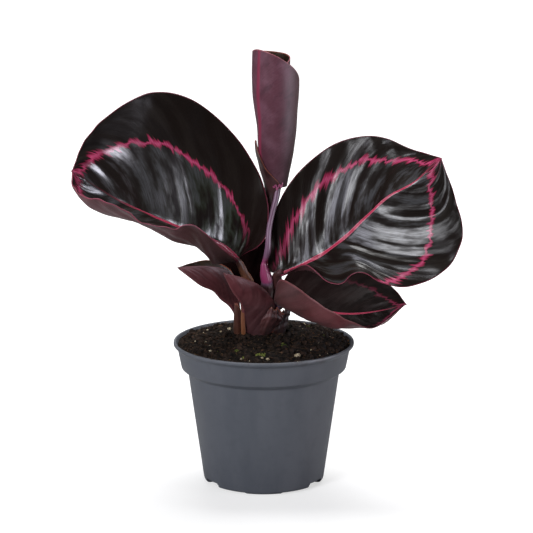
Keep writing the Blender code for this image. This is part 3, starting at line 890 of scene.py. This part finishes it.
# Stalks: ridged tubes. A route gives x, y, z, radius, how warm and how pink, from the leaf down
stalks = {
    "left_leaf_petiole": {
        "route": [
            (-19, 5.5, 149.5, 1.6, 0.9, 0.2), (-16, 6.8, 146, 2.3, 1.0, 0.1), (-13, 8, 139, 2.7, 1.0, 0.0),
            (-10.5, 9, 134, 3.3, 0.95, 0.0), (-9, 9.7, 130, 2.9, 0.8, 0.1), (-7, 11, 120, 3.0, 0.4, 0.1),
            (-6, 11.5, 110, 3.2, 0.2, 0.0), (-7, 11.5, 96, 3.4, 0.1, 0.0),
        ],
        "replaces": ["left_leaf_stalk"],
    },
    "right_leaf_petiole": {
        "route": [
            (12, -3, 143, 1.6, 0.1, 0.1), (9, 0.5, 139.5, 3.0, 0.08, 0.0), (8.5, 5, 132, 3.7, 0.05, 0.0),
            (8.5, 9.5, 124, 3.5, 0.0, 0.0), (8, 12, 112, 3.2, 0.0, 0.0), (7, 13, 96, 3.2, 0.0, 0.0),
        ],
        "replaces": ["right_leaf_stalk"],
    },
    "lower_right_leaf_petiole": {
        "route": [
            (11, -2.5, 121, 1.6, 0.3, 0.5), (9, -1, 119, 2.4, 0.3, 0.3), (7, 0, 110, 2.8, 0.2, 0.1),
            (3, 0, 103, 3.0, 0.1, 0.0), (2, 0, 96, 3.2, 0.1, 0.0),
        ],
        "replaces": ["lower_right_leaf_stalk"],
    },
    "rolled_leaf_petiole": {
        "route": [
            (9.6, 10.5, 198, 2.2, 0.0, 0.3), (8.3, 7.8, 190, 1.9, 0.0, 0.35),
            (6.2, 5.6, 182.5, 1.8, 0.0, 0.35), (4.3, 2, 175, 1.7, 0.0, 0.4),
            (3.2, -1.5, 167, 1.8, 0.0, 0.45), (2.9, -3, 159, 2.1, 0.0, 0.5),
            (2.0, -2.6, 154, 2.1, 0.0, 0.55), (0.4, -1.5, 149.5, 1.4, 0.0, 0.85),
            (0.2, -1, 146, 2.2, 0.0, 1.0), (1.0, -0.4, 141, 3.4, 0.0, 1.0),
            (2.0, 0.6, 136.5, 4.0, 0.0, 0.9), (2.2, 1.4, 133, 4.1, 0.0, 0.1),
            (2.2, 2.4, 129, 4.0, 0.05, 0.0), (1.2, 4.5, 118, 3.6, 0.1, 0.0),
            (0, 8, 107, 3.3, 0.1, 0.0), (0, 9, 96, 3.2, 0.1, 0.0),
        ],
        "replaces": ["rolled_leaf_stalk"],
    },
    "rolled_leaf_frill": {
        "route": [
            (5.6, 7.6, 200.5, 0.3, 0.0, 0.9), (6.6, 6.8, 197.5, 0.45, 0.0, 1.0),
            (8.0, 6.2, 199.2, 0.4, 0.0, 0.9), (8.8, 5.6, 196.2, 0.5, 0.0, 1.0),
            (10.4, 5.8, 199.6, 0.4, 0.0, 0.9), (11.4, 6.2, 197.4, 0.45, 0.0, 1.0),
            (12.6, 7.0, 200.8, 0.25, 0.0, 0.8),
        ],
        "replaces": [],
    },
}
stalkBuild = {
    "sides": 48,
    "ringsPerSpan": 26,
    "ridges": 13,
    "ridgeDepth": 0.035,  # as a share of the radius, as the groove's depth is
    "grooveDepth": 0.16,
    "grooveWidth": 0.45,  # in radians
}
stalkSkin = {
    "base": (0.066, 0.018, 0.021),
    "mottle": (0.030, 0.010, 0.009),
    "warm": (0.205, 0.076, 0.036),
    "warmMottle": (0.105, 0.036, 0.019),
    "pink": (0.310, 0.036, 0.130),
    "pale": (0.185, 0.088, 0.160),
    "rough": (0.30, 0.5),
}


def makeStalkSkin(name, spec, groups):
    material, tree, shader = startMaterial(name, specular=0.45, sheen=0.05)
    warm, pink = attribute(tree, "warm"), attribute(tree, "pink")
    grain = placeGroup(tree, groups["grain"], {"Pore Size": 1500.0, "Mottle Size": 260.0, "Stretch": 9.0})
    slow = placeGroup(tree, groups["grain"], {"Pore Size": 700.0, "Mottle Size": 90.0, "Stretch": 2.0})
    colour = blendColour(tree, spread(tree, grain["Mottle"], 0.35, 0.65), spec["base"], spec["mottle"])
    warmed = blendColour(tree, spread(tree, slow["Mottle"], 0.4, 0.7), spec["warm"], spec["warmMottle"])
    colour = blendColour(tree, warm, colour, warmed)
    blushed = blendColour(tree, spread(tree, pink, 0.5, 0.95), spec["pale"], spec["pink"])
    colour = blendColour(tree, spread(tree, pink, 0.0, 0.5, 0.0, 0.92), colour, blushed)
    colour = blendColour(tree, spread(tree, grain["Mottle"], 0.5, 0.75, 0.0, 0.35), colour, spec["mottle"])
    rough = spread(tree, slow["Mottle"], 0.3, 0.7, spec["rough"][0], spec["rough"][1], smooth=False)
    height = plus(tree, grain["Mottle"], times(tree, grain["Pores"], 0.3))
    finishMaterial(tree, shader, colour, rough, height, 0.35, 0.0003)
    return material


def makeStalk(name, stalk, build, material):
    route = np.array(stalk["route"], float)
    rings = (len(route) - 1) * build["ringsPerSpan"] + 1
    line = smoothLine(route, np.linspace(0, 1, rings))
    centre, radius = line[:, :3], np.maximum(line[:, 3], 0.3)
    tangent = np.gradient(centre, axis=0)
    tangent /= np.linalg.norm(tangent, axis=1, keepdims=True)
    side = np.cross(tangent, (0, 1, 0))
    side /= np.linalg.norm(side, axis=1, keepdims=True)
    back = np.cross(side, tangent)
    turn = np.linspace(0, 2 * math.pi, build["sides"], endpoint=False)
    off = np.abs((turn - math.pi / 2 + math.pi) % (2 * math.pi) - math.pi)
    ridged = build["ridgeDepth"] * np.sin(build["ridges"] * turn)
    grooved = build["grooveDepth"] * np.exp(-((off / build["grooveWidth"]) ** 2))
    shape = 1 + ridged - grooved
    reach = radius[:, None] * shape[None, :]
    wander = 1 + 0.03 * waves(np.linspace(0, 1, rings), len(name), [(3, 1), (7, 0.6), (13, 0.4)])
    reach = reach * wander[:, None]
    outward = np.cos(turn)[None, :, None] * side[:, None] + np.sin(turn)[None, :, None] * back[:, None]
    verts = centre[:, None] + reach[..., None] * outward
    sides = build["sides"]
    caps = [list(range(sides)), list(reversed(range((rings - 1) * sides, rings * sides)))]
    mesh = pointMesh(name, verts, ringFaces(rings, sides) + caps)
    for label, column in (("warm", 4), ("pink", 5)):
        layer = mesh.attributes.new(label, "FLOAT", "POINT")
        layer.data.foreach_set("value", np.repeat(np.clip(line[:, column], 0, 1), sides).astype(np.float32))
    return finishMesh(name, mesh, [material])


# Pot: a thin moulded wall, given as corners of radius, height and rounding in millimetres
pot = {
    "outline": [
        (0, 5.0, 0), (39.4, 5.0, 3.0), (49.3, 78.2, 0.8), (53.6, 80.8, 1.2), (55.9, 90.0, 3.0),
        (57.4, 93.0, 1.4), (58.4, 95.0, 0.5), (60.0, 95.0, 0.7), (60.0, 93.1, 0.8), (57.6, 91.0, 1.8),
        (57.0, 88.6, 2.5), (54.8, 77.8, 1.4), (50.7, 74.9, 0.35), (50.4, 74.2, 0.5), (39.9, 0, 3.4),
        (34.4, 0, 0.5), (33.6, 3.4, 0.9), (20.0, 3.4, 0.3), (19.6, 3.1, 0.2), (18.6, 3.1, 0.2),
        (18.2, 3.4, 0.3), (8.5, 3.4, 0.8), (7.2, 0, 0.5), (2.0, 0, 0.4), (1.6, 0.5, 0.2),
        (0, 0.5, 0),
    ],
    "segments": 192,
    "arcSteps": 5,
    "padLift": 0.6,  # the foot stands on four pads, this much below the rest of its ring
    "padHalfAngle": 17,
    "padFade": 1.5,  # degrees over which a pad's side falls away
    "footHeight": 1.5,
    "footReach": 33,
    "drainRounding": 0.9,
    "sharpAngle": 50,
    "drainAngles": (30, 150, 210, 330),
    "drainSize": (13, 16, 3.7),
    "drainReach": 38.2,
}
potSkin = {
    "base": (0.086, 0.094, 0.112),
    "pale": (0.101, 0.109, 0.127),
    "dark": (0.066, 0.072, 0.086),
    # pale scuffs, and also a painted highlight along the lip's top
    "scuff": (0.150, 0.157, 0.170),
    "dirt": (0.045, 0.032, 0.022),
    "rough": (0.42, 0.62),
    "scratchScale": (160, 160, 900),  # cycles in a metre along x, y and z
    "scuffHeights": (0.0, 0.02),  # scuffs fade upwards; heights in metres
    # heights in metres of the lip's painted highlight
    "lipHighlightHeights": (0.0936, 0.0949),
    "dirtHeights": (0.086, 0.096),
}


def roundedOutline(corners, steps):
    # Puts an arc at each corner that has a rounding
    made = []
    for number, (radius, height, rounding) in enumerate(corners):
        here = np.array((radius, height), float)
        if not rounding:
            made.append(here)
            continue
        before = np.array(corners[number - 1][:2], float) - here
        after = np.array(corners[number + 1][:2], float) - here
        first, second = before / np.linalg.norm(before), after / np.linalg.norm(after)
        half = math.acos(np.clip(np.dot(first, second), -1, 1)) / 2
        back = min(rounding / math.tan(half), 0.45 * np.linalg.norm(before), 0.45 * np.linalg.norm(after))
        start, end = here + first * back, here + second * back
        for t in np.linspace(0, 1, steps):
            made.append((1 - t) ** 2 * start + 2 * t * (1 - t) * here + t**2 * end)
    return np.array(made)


def latheMesh(name, outline, segments):
    turn = np.linspace(0, 2 * math.pi, segments, endpoint=False)
    radius, height = outline[:, 0][:, None], outline[:, 1][:, None]
    verts = np.stack([radius * np.cos(turn), radius * np.sin(turn), height + 0 * turn], axis=-1)
    return pointMesh(name, verts, ringFaces(len(outline), segments))


def makePot(name, spec, material):
    outline = roundedOutline(spec["outline"], spec["arcSteps"])
    made = finishMesh(name, latheMesh(name, outline, spec["segments"]), [material])
    places = np.zeros(len(made.data.vertices) * 3)
    made.data.vertices.foreach_get("co", places)
    places = places.reshape(-1, 3)
    angle = np.degrees(np.arctan2(places[:, 1], places[:, 0])) % 90
    off = np.minimum(angle, 90 - angle)
    lift = np.clip((off - spec["padHalfAngle"]) / spec["padFade"], 0, 1) * spec["padLift"] * mm
    reach = np.hypot(places[:, 0], places[:, 1])
    footHeight = spec["footHeight"] * mm
    foot = (places[:, 2] < footHeight) & (reach > spec["footReach"] * mm)
    places[:, 2] += np.where(foot, lift * (1 - places[:, 2] / footHeight), 0)
    made.data.vertices.foreach_set("co", places.reshape(-1))
    for degrees in spec["drainAngles"]:
        bm = bmesh.new()
        bmesh.ops.create_cube(bm, size=1)
        wide, long, deep = (value * mm for value in spec["drainSize"])
        bmesh.ops.scale(bm, vec=(wide, long, 2 * deep), verts=bm.verts)
        bmesh.ops.bevel(bm, geom=bm.edges[:], offset=spec["drainRounding"] * mm, segments=3, affect="EDGES")
        cutter = addObject("drain_block", takeMesh("drain_block", bm))
        angle = math.radians(degrees)
        x = spec["drainReach"] * math.cos(angle) * mm
        y = spec["drainReach"] * math.sin(angle) * mm
        cutter.location = (x, y, 0)
        cutter.rotation_euler = (0, 0, angle)
        notch = made.modifiers.new("notch", "BOOLEAN")
        notch.object = cutter
        bakeModifiers(made)
        bpy.data.objects.remove(cutter)
    made.data.set_sharp_from_angle(angle=math.radians(spec["sharpAngle"]))
    return made


def bakeModifiers(piece):
    bpy.context.view_layer.update()
    old = piece.data
    made = bpy.data.meshes.new_from_object(piece.evaluated_get(bpy.context.evaluated_depsgraph_get()))
    piece.modifiers.clear()
    piece.data = made
    made.name = old.name
    bpy.data.meshes.remove(old)


def makePotSkin(name, spec, groups):
    material, tree, shader = startMaterial(name, specular=0.3)
    grain = placeGroup(tree, groups["grain"], {"Pore Size": 2600.0, "Mottle Size": 120.0})
    flow = placeGroup(tree, groups["grain"], {"Pore Size": 900.0, "Mottle Size": 70.0, "Stretch": 6.0})
    place = addNode(tree, "ShaderNodeTexCoord").outputs["Object"]
    parts = addNode(tree, "ShaderNodeSeparateXYZ", {0: place}).outputs
    colour = blendColour(tree, spread(tree, flow["Mottle"], 0.3, 0.7), spec["base"], spec["pale"])
    colour = blendColour(tree, spread(tree, grain["Mottle"], 0.45, 0.75, 0.0, 0.3), colour, spec["dark"])
    stretched = [times(tree, parts[axis], scale) for axis, scale in enumerate(spec["scratchScale"])]
    scratches = softNoise(tree, 1.0, 6.0, 0.75, joined(tree, *stretched))
    scuff = spread(tree, scratches, 0.62, 0.72, 0.0, 0.35)
    low = spread(tree, parts[2], *spec["scuffHeights"], 1.0, 0.25)
    colour = blendColour(tree, times(tree, scuff, low), colour, spec["scuff"])
    # Painted highlight: a lighter band in the scuff colour along the top of the lip
    lipHighlight = spread(tree, parts[2], *spec["lipHighlightHeights"], 0.0, 0.35, smooth=False)
    colour = blendColour(tree, lipHighlight, colour, spec["scuff"])
    nearLip = spread(tree, parts[2], *spec["dirtHeights"], 0.0, 0.5)
    soiled = times(tree, spread(tree, grain["Mottle"], 0.55, 0.68), nearLip)
    colour = blendColour(tree, soiled, colour, spec["dirt"])
    rough = spread(tree, flow["Mottle"], 0.3, 0.7, spec["rough"][0], spec["rough"][1], smooth=False)
    height = plus(tree, times(tree, grain["Pores"], 0.6), times(tree, flow["Mottle"], 0.5))
    finishMaterial(tree, shader, colour, rough, height, 0.12, 0.0003)
    return material


# Soil: a crumbly mound inside the pot's wall, with loose matter scattered over it
soil = {
    "mound": ((0, 99.0), (20, 98.9), (36, 97.4), (48, 95.4), (57.4, 93.4)),
    "side": [(57.0, 92.2), (55.3, 89.6), (53.0, 81.2), (48.8, 78.6), (39.0, 8.0), (36.0, 5.3), (0, 5.3)],
    "lumps": [(10.0, 1.3), (4.0, 1.0), (1.9, 0.6)],  # size across and height
    "heaps": [(17, 24, 9, 3.2), (-14, 22, 8, 1.5)],  # x, y, width, height
    "rings": 130,
    "segments": 340,
    "edge": 57.0,
}
earthSkin = {
    "dark": (0.0036, 0.0026, 0.0020),
    "brown": (0.015, 0.0096, 0.0062),
    "rust": (0.045, 0.024, 0.014),
    "rough": 0.95,
}


def soilHeight(x, y, spec):
    radii, heights = zip(*spec["mound"])
    level = np.interp(np.hypot(x, y), radii, heights)
    for px, py, wide, tall in spec["heaps"]:
        level = level + tall * np.exp(-((x - px) ** 2 + (y - py) ** 2) / wide**2)
    fade = np.clip((spec["edge"] - np.hypot(x, y)) / 4, 0.15, 1)
    rough = np.zeros(len(x))
    for number, (px, py) in enumerate(zip(x, y)):
        rough[number] = sum(
            tall * noise.noise(Vector((px / wide, py / wide, 3.7 * wide))) for wide, tall in spec["lumps"]
        )
    return level + rough * fade


def makeSoil(name, spec, material):
    radius = spec["edge"] * np.linspace(0, 1, spec["rings"]) ** 0.85
    turn = np.linspace(0, 2 * math.pi, spec["segments"], endpoint=False)
    x = (radius[:, None] * np.cos(turn)).reshape(-1)
    y = (radius[:, None] * np.sin(turn)).reshape(-1)
    level = soilHeight(x, y, spec)
    level[: spec["segments"]] = level[0]
    side = np.array(spec["side"], float)
    rim = side[:, 0][:, None]
    x = np.concatenate([x, (rim * np.cos(turn)).reshape(-1)])
    y = np.concatenate([y, (rim * np.sin(turn)).reshape(-1)])
    level = np.concatenate([level, np.repeat(side[:, 1], spec["segments"])])
    faces = ringFaces(spec["rings"] + len(side), spec["segments"], turned=True)
    return finishMesh(name, pointMesh(name, np.stack([x, y, level], axis=-1), faces), [material])


def makeEarth(name, spec, groups, bump=0.6):
    material, tree, shader = startMaterial(name, specular=0.1)
    coarse = placeGroup(tree, groups["grain"], {"Pore Size": 1500.0, "Mottle Size": 320.0})
    slow = placeGroup(tree, groups["grain"], {"Pore Size": 420.0, "Mottle Size": 55.0})
    colour = blendColour(tree, spread(tree, coarse["Mottle"], 0.38, 0.66), spec["dark"], spec["brown"])
    flecks = times(tree, spread(tree, slow["Pores"], 0.56, 0.7), spread(tree, slow["Mottle"], 0.4, 0.62))
    colour = blendColour(tree, flecks, colour, spec["rust"])
    rough = spread(tree, coarse["Mottle"], 0.3, 0.7, spec["rough"], spec["rough"] - 0.2, smooth=False)
    height = plus(tree, coarse["Mottle"], times(tree, coarse["Pores"], 0.5))
    finishMaterial(tree, shader, colour, rough, height, bump, 0.0006)
    return material


def randomValue(tree, low, high, seed, vector=True):
    # Vectors use the first two sockets and the first output, and single numbers the next ones
    first = 0 if vector else 2
    kind = "FLOAT_VECTOR" if vector else "FLOAT"
    inputs = {first: low, first + 1: high, "Seed": seed}
    return addNode(tree, "FunctionNodeRandomValue", inputs, data_type=kind).outputs[0 if vector else 1]


def scaled(tree, vector, factor):
    return addNode(tree, "ShaderNodeVectorMath", {0: vector, "Scale": factor}, operation="SCALE").outputs[0]


def makeScatterTree(name, shape, roughen):
    # Points over a surface, each with one turned and stretched copy of a small shape
    tree = bpy.data.node_groups.new(name, "GeometryNodeTree")
    for label, kind in (
        ("Geometry", "NodeSocketGeometry"), ("Density", "NodeSocketFloat"), ("Smallest", "NodeSocketFloat"),
        ("Largest", "NodeSocketFloat"), ("Thin", "NodeSocketVector"), ("Thick", "NodeSocketVector"),
        ("Tilt", "NodeSocketFloat"), ("Seed", "NodeSocketInt"), ("Material", "NodeSocketMaterial"),
    ):
        tree.interface.new_socket(label, in_out="INPUT", socket_type=kind)
    tree.interface.new_socket("Geometry", in_out="OUTPUT", socket_type="NodeSocketGeometry")
    given = tree.nodes.new("NodeGroupInput").outputs
    inputs = {"Mesh": given["Geometry"], "Density": given["Density"], "Seed": given["Seed"]}
    spots = addNode(tree, "GeometryNodeDistributePointsOnFaces", inputs, distribute_method="RANDOM")
    points = spots.outputs["Points"]
    if shape == "fibre":
        inputs = {"Resolution": 6, "Start": (-1, 0, 0), "Middle": (0.1, 0.6, 0.15), "End": (1, 0, 0)}
        bend = addNode(tree, "GeometryNodeCurveQuadraticBezier", inputs).outputs["Curve"]
        ring = addNode(tree, "GeometryNodeCurvePrimitiveCircle", {"Resolution": 4, "Radius": 0.06})
        inputs = {"Curve": bend, "Profile Curve": ring.outputs["Curve"], "Fill Caps": True}
        grain = addNode(tree, "GeometryNodeCurveToMesh", inputs).outputs["Mesh"]
    else:
        inputs = {"Radius": 1.0, "Subdivisions": 2 if shape == "lump" else 1}
        grain = addNode(tree, "GeometryNodeMeshIcoSphere", inputs).outputs["Mesh"]
    tilt = given["Tilt"]
    low = joined(tree, times(tree, tilt, -1.0), times(tree, tilt, -1.0), 0.0)
    high = joined(tree, tilt, tilt, 2 * math.pi)
    turn = randomValue(tree, low, high, 11)
    size = randomValue(tree, given["Smallest"], given["Largest"], 23, vector=False)
    stretch = randomValue(tree, given["Thin"], given["Thick"], 37)
    inputs = {"Points": points, "Instance": grain, "Rotation": turn, "Scale": scaled(tree, stretch, size)}
    placed = addNode(tree, "GeometryNodeInstanceOnPoints", inputs).outputs["Instances"]
    solid = addNode(tree, "GeometryNodeRealizeInstances", {0: placed}).outputs[0]
    if roughen:
        place = tree.nodes.new("GeometryNodeInputPosition").outputs[0]
        bumps = addNode(tree, "ShaderNodeTexNoise", {"Vector": place, "Scale": 650.0, "Detail": 2.0})
        inputs = {0: bumps.outputs["Color"], 1: (0.5, 0.5, 0.5)}
        centred = addNode(tree, "ShaderNodeVectorMath", inputs, operation="SUBTRACT").outputs[0]
        inputs = {"Geometry": solid, "Offset": scaled(tree, centred, roughen * mm)}
        solid = addNode(tree, "GeometryNodeSetPosition", inputs).outputs[0]
    inputs = {"Geometry": solid, "Material": given["Material"]}
    coloured = addNode(tree, "GeometryNodeSetMaterial", inputs).outputs[0]
    out = tree.nodes.new("NodeGroupOutput")
    tree.links.new(coloured, out.inputs["Geometry"])
    return tree


scatters = {
    "soil_crumbs": {
        "shape": "crumb", "roughen": 0.5, "finish": "crumb", "over": "bed", "tilt": 3.1, "seed": 3,
        "density": 620000, "sizes": (0.25, 0.95), "thin": (0.6, 0.6, 0.5), "thick": (1.3, 1.1, 0.9),
    },
    "soil_clods": {
        "shape": "lump", "roughen": 1.1, "finish": "clod", "over": "bed", "tilt": 3.1, "seed": 5,
        "density": 42000, "sizes": (1.0, 2.9), "thin": (0.7, 0.6, 0.5), "thick": (1.2, 1.0, 0.8),
    },
    "soil_bark": {
        "shape": "lump", "roughen": 0.5, "finish": "bark", "over": "bed", "tilt": 0.7, "seed": 7,
        "density": 30000, "sizes": (0.7, 1.7), "thin": (0.8, 0.4, 0.2), "thick": (1.7, 0.8, 0.4),
    },
    "soil_fibres": {
        "shape": "fibre", "roughen": 0, "finish": "fibre", "over": "bed", "tilt": 0.35, "seed": 9,
        "density": 28000, "sizes": (1.2, 4.2), "thin": (0.9, 0.5, 0.8), "thick": (1.1, 1.2, 1.1),
    },
    "soil_perlite": {
        "shape": "lump", "roughen": 0.5, "finish": "perlite", "over": "bed", "tilt": 3.1, "seed": 13,
        "density": 2600, "sizes": (0.3, 0.8), "thin": (0.7, 0.7, 0.6), "thick": (1.2, 1.1, 1.0),
    },
    "soil_moss": {
        "shape": "crumb", "roughen": 0.25, "finish": "moss", "over": "patches", "tilt": 3.1, "seed": 17,
        "density": 2200000, "sizes": (0.3, 0.8), "thin": (0.5, 0.5, 0.4), "thick": (1.4, 0.9, 0.8),
    },
}
mossPatches = [
    # x, y, radius
    (14, -27, 3.0), (11, -24, 1.8), (-3, -43, 2.6), (0, -45, 1.4), (-18, -37, 1.6), (-12, -46, 1.5),
    (-31, -33, 1.5), (40, 2, 1.2), (-6, 40, 2.0), (30, 30, 1.6),
]
pebbles = [
    # x, y, radius
    (22, -44, 2.1), (-15, -47.5, 1.05), (-23, 16, 1.3), (-28.5, 9, 0.9), (2.5, -49.5, 1.2), (-1, -49, 0.8),
    (-35, -31, 0.9), (36, -14, 0.8), (-9, -51.5, 0.7), (31, -31, 0.7), (27, 36, 1.2), (-38, 24, 1.0),
    (8, 44, 1.3),
]
crumbSkins = {
    # dark, brown, rust, rough
    "crumb": ((0.004, 0.0028, 0.0021), (0.019, 0.012, 0.0076), (0.065, 0.033, 0.018), 0.95),
    "clod": ((0.0055, 0.0038, 0.0028), (0.026, 0.015, 0.0098), (0.060, 0.029, 0.016), 0.92),
    "bark": ((0.022, 0.012, 0.008), (0.080, 0.042, 0.024), (0.155, 0.075, 0.036), 0.85),
    "fibre": ((0.032, 0.017, 0.009), (0.105, 0.062, 0.031), (0.19, 0.12, 0.06), 0.8),
    "perlite": ((0.24, 0.19, 0.12), (0.50, 0.43, 0.30), (0.66, 0.60, 0.42), 0.8),
    "moss": ((0.05, 0.070, 0.012), (0.20, 0.22, 0.05), (0.38, 0.34, 0.12), 0.8),
}


def makeBed(spec, reach):
    # A plain skin over the mound for the loose matter to lie on; it is removed afterwards
    bm = bmesh.new()
    bmesh.ops.create_circle(bm, cap_ends=True, segments=64, radius=reach * mm)
    bmesh.ops.triangulate(bm, faces=bm.faces)
    bmesh.ops.subdivide_edges(bm, edges=bm.edges, cuts=16, use_grid_fill=True)
    return fitToSoil("soil_bed", bm, spec, -0.1)


def makePatches(spec, patches):
    bm = bmesh.new()
    for x, y, radius in patches:
        ring = bmesh.ops.create_circle(bm, cap_ends=True, segments=12, radius=radius * mm)
        bmesh.ops.translate(bm, verts=ring["verts"], vec=(x * mm, y * mm, 0))
    return fitToSoil("moss_bed", bm, spec, 0.4)


def fitToSoil(name, bm, spec, lift):
    x = np.array([vert.co.x for vert in bm.verts]) / mm
    y = np.array([vert.co.y for vert in bm.verts]) / mm
    for vert, level in zip(bm.verts, soilHeight(x, y, spec)):
        vert.co.z = (level + lift) * mm
    return addObject(name, takeMesh(name, bm))


def makeScatter(name, spec, bed, material):
    tree = makeScatterTree(name, spec["shape"], spec["roughen"])
    made = addObject(name, bed.data.copy())
    scatter = made.modifiers.new("scatter", "NODES")
    scatter.node_group = tree
    values = {
        "Density": float(spec["density"]),
        "Smallest": spec["sizes"][0] * mm,
        "Largest": spec["sizes"][1] * mm,
        "Material": material,
    }
    values.update((key.capitalize(), spec[key]) for key in ("thin", "thick", "tilt", "seed"))
    for socket in tree.interface.items_tree:
        if socket.in_out == "INPUT" and socket.name in values:
            scatter[socket.identifier] = values[socket.name]
    bakeModifiers(made)
    made.data.shade_flat()
    return made


def makePebbles(name, places, spec, material):
    bm = bmesh.new()
    for number, (x, y, radius) in enumerate(places):
        level = soilHeight(np.array([x]), np.array([y]), spec)[0]
        ball = bmesh.ops.create_icosphere(bm, subdivisions=3, radius=radius * mm)["verts"]
        for vert in ball:
            dent = noise.noise(vert.co * 900 + Vector((number * 5.1, 0, 0)))
            vert.co *= 1 + 0.35 * dent
            vert.co.z *= 0.75
            vert.co += Vector((x, y, level + radius * 0.45)) * mm
    return finishMesh(name, takeMesh(name, bm), [material])


makeCamera(camera)
groups = {"veins": makeVeinStreaks(), "ring": makeRingBrush(), "grain": makeGrain()}
finishes = {
    "top": makeLeafTop("leaf_upper", leafTop, groups),
    "shadedTop": makeLeafTop("shaded_leaf_upper", shadedTop, groups),
    "back": makeLeafUnder("leaf_underside", bladeBack, groups),
    "paleBack": makeLeafUnder("lower_leaf_underside", leafUnder, groups),
    "youngTop": makeLeafUnder("young_leaf_upper", youngTop, groups),
    "youngUnder": makeLeafUnder("young_leaf_underside", youngUnder, groups),
    "sheath": makeLeafUnder("sheath_skin", sheathSkin, groups),
    "stalk": makeStalkSkin("stalk_skin", stalkSkin, groups),
    "plastic": makePotSkin("grey_plastic", potSkin, groups),
    "earth": makeEarth("peat", earthSkin, groups),
}
for key, tones in crumbSkins.items():
    skin = dict(zip(("dark", "brown", "rust", "rough"), tones))
    finishes[key] = makeEarth(key + "_matter", skin, groups, 0.4)


def layers(top, under):
    return [finishes[top], finishes[under], finishes[under]]


blades = [
    # name, leaf, finishes above and below, slot, node replaced
    ("left_leaf", leftLeaf, ("top", "back"), "leaf", "left_leaf_blade"),
    ("right_leaf", rightLeaf, ("top", "back"), "leaf", "right_leaf_blade"),
    ("lower_right_leaf", lowerRightLeaf, ("shadedTop", "paleBack"), "leaf", "lower_right_leaf_blade"),
    ("back_leaf_shell", backLeaf, ("shadedTop", "back"), "leaf", "back_leaf"),
    ("lower_left_leaf_shell", lowerLeftLeaf, ("youngTop", "paleBack"), "young_leaf", "lower_left_leaf"),
    ("front_leaf_shell", frontLeaf, ("youngTop", "paleBack"), "young_leaf", "front_leaf"),
]
pieces = [(makeLeaf(name, leaf, layers(*skins)), slot, [node]) for name, leaf, skins, slot, node in blades]
tube = makeRolledLeaf("rolled_leaf_tube", rolledLeaf, layers("youngTop", "youngUnder"))
pieces.append((tube, "young_leaf", ["rolled_leaf"]))
print("Leaves made")
for name, sheath in sheaths.items():
    replaced = ["crown"] if name == "crown_sheath" else []
    pieces.append((makeSheath(name, sheath, layers("sheath", "sheath")), "crown", replaced))
for name, spec in stalks.items():
    pieces.append((makeStalk(name, spec, stalkBuild, finishes["stalk"]), "stalk", spec["replaces"]))
print("Sheaths and stalks made")
pieces.append((makePot("pot_shell", pot, finishes["plastic"]), "pot", ["pot"]))
pieces.append((makeSoil("soil_mound", soil, finishes["earth"]), "soil", ["potting_soil"]))
beds = {"bed": makeBed(soil, 56.2), "patches": makePatches(soil, mossPatches)}
for name, spec in scatters.items():
    pieces.append((makeScatter(name, spec, beds[spec["over"]], finishes[spec["finish"]]), "soil", []))
pieces.append((makePebbles("soil_pebbles", pebbles, soil, finishes["perlite"]), "soil", []))
for bed in beds.values():
    bpy.data.objects.remove(bed)
print("Pot and soil made")


# Studio
studio = {
    "floorSize": 12.0,
    "floorTone": 0.44,
    "floorGlow": (0.60, 1.0),  # at the pot, and from half a metre away
    "world": 0.10,
    "lights": [
        # name, place, size x and y, watts, colour, whether it lights matt surfaces too
        ("overhead", (0.1, 0.5, 1.5), (1.1, 0.8), 28, (1.0, 1.0, 1.0), True),
        ("front left", (-1.05, -1.4, 0.95), (0.6, 0.9), 27, (0.94, 0.95, 1.0), True),
        ("right", (1.5, -0.45, 0.3), (0.35, 0.8), 6, (0.97, 0.93, 1.0), True),
        ("satin right", (1.3, -0.45, 0.12), (0.9, 0.9), 48, (0.87, 0.87, 1.0), False),
        ("satin left", (-1.3, -0.7, 0.75), (0.6, 0.7), 10, (0.87, 0.87, 1.0), False),
    ],
}


def makeStudio(spec):
    scene = bpy.context.scene
    scene.view_settings.view_transform = "Standard"
    world = bpy.data.worlds.new("studio")
    scene.world = world
    world.use_nodes = True
    tree = world.node_tree
    path = tree.nodes.new("ShaderNodeLightPath")
    level = spread(tree, path.outputs["Is Camera Ray"], 0.0, 1.0, spec["world"], 1.0, smooth=False)
    tree.links.new(level, tree.nodes["Background"].inputs["Strength"])
    tree.nodes["Background"].inputs["Color"].default_value = (1, 1, 1, 1)
    for name, place, size, watts, colour, matt in spec["lights"]:
        data = bpy.data.lights.new(name, "AREA")
        data.shape = "RECTANGLE"
        data.size, data.size_y = size
        data.energy = watts
        data.color = colour
        made = addObject(name, data)
        made.location = place
        made.visible_diffuse = matt
        aim = Vector((0, 0, 0.15)) - Vector(place)
        made.rotation_euler = aim.to_track_quat("-Z", "Y").to_euler()
    bm = bmesh.new()
    bmesh.ops.create_grid(bm, x_segments=1, y_segments=1, size=spec["floorSize"] / 2)
    floor = addObject("floor", takeMesh("floor", bm))
    floor.location.z = -0.2 * mm
    material, tree, shader = startMaterial("studio_floor", specular=0.0)
    tone = spec["floorTone"]
    shader.inputs["Base Color"].default_value = (tone, tone, tone, 1)
    shader.inputs["Roughness"].default_value = 0.9
    path = tree.nodes.new("ShaderNodeLightPath")
    place = addNode(tree, "ShaderNodeTexCoord").outputs["Object"]
    reach = addNode(tree, "ShaderNodeVectorMath", {0: place}, operation="LENGTH").outputs["Value"]
    near, far = spec["floorGlow"]
    glow = times(tree, path.outputs["Is Camera Ray"], spread(tree, reach, 0.1, 0.5, near, far))
    shader.inputs["Emission Color"].default_value = (1, 1, 1, 1)
    tree.links.new(glow, shader.inputs["Emission Strength"])
    floor.data.materials.append(material)


makeStudio(studio)
print("Studio made")

for piece, slot, nodes in pieces:
    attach(piece, "root")
    if nodes:
        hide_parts(*nodes)
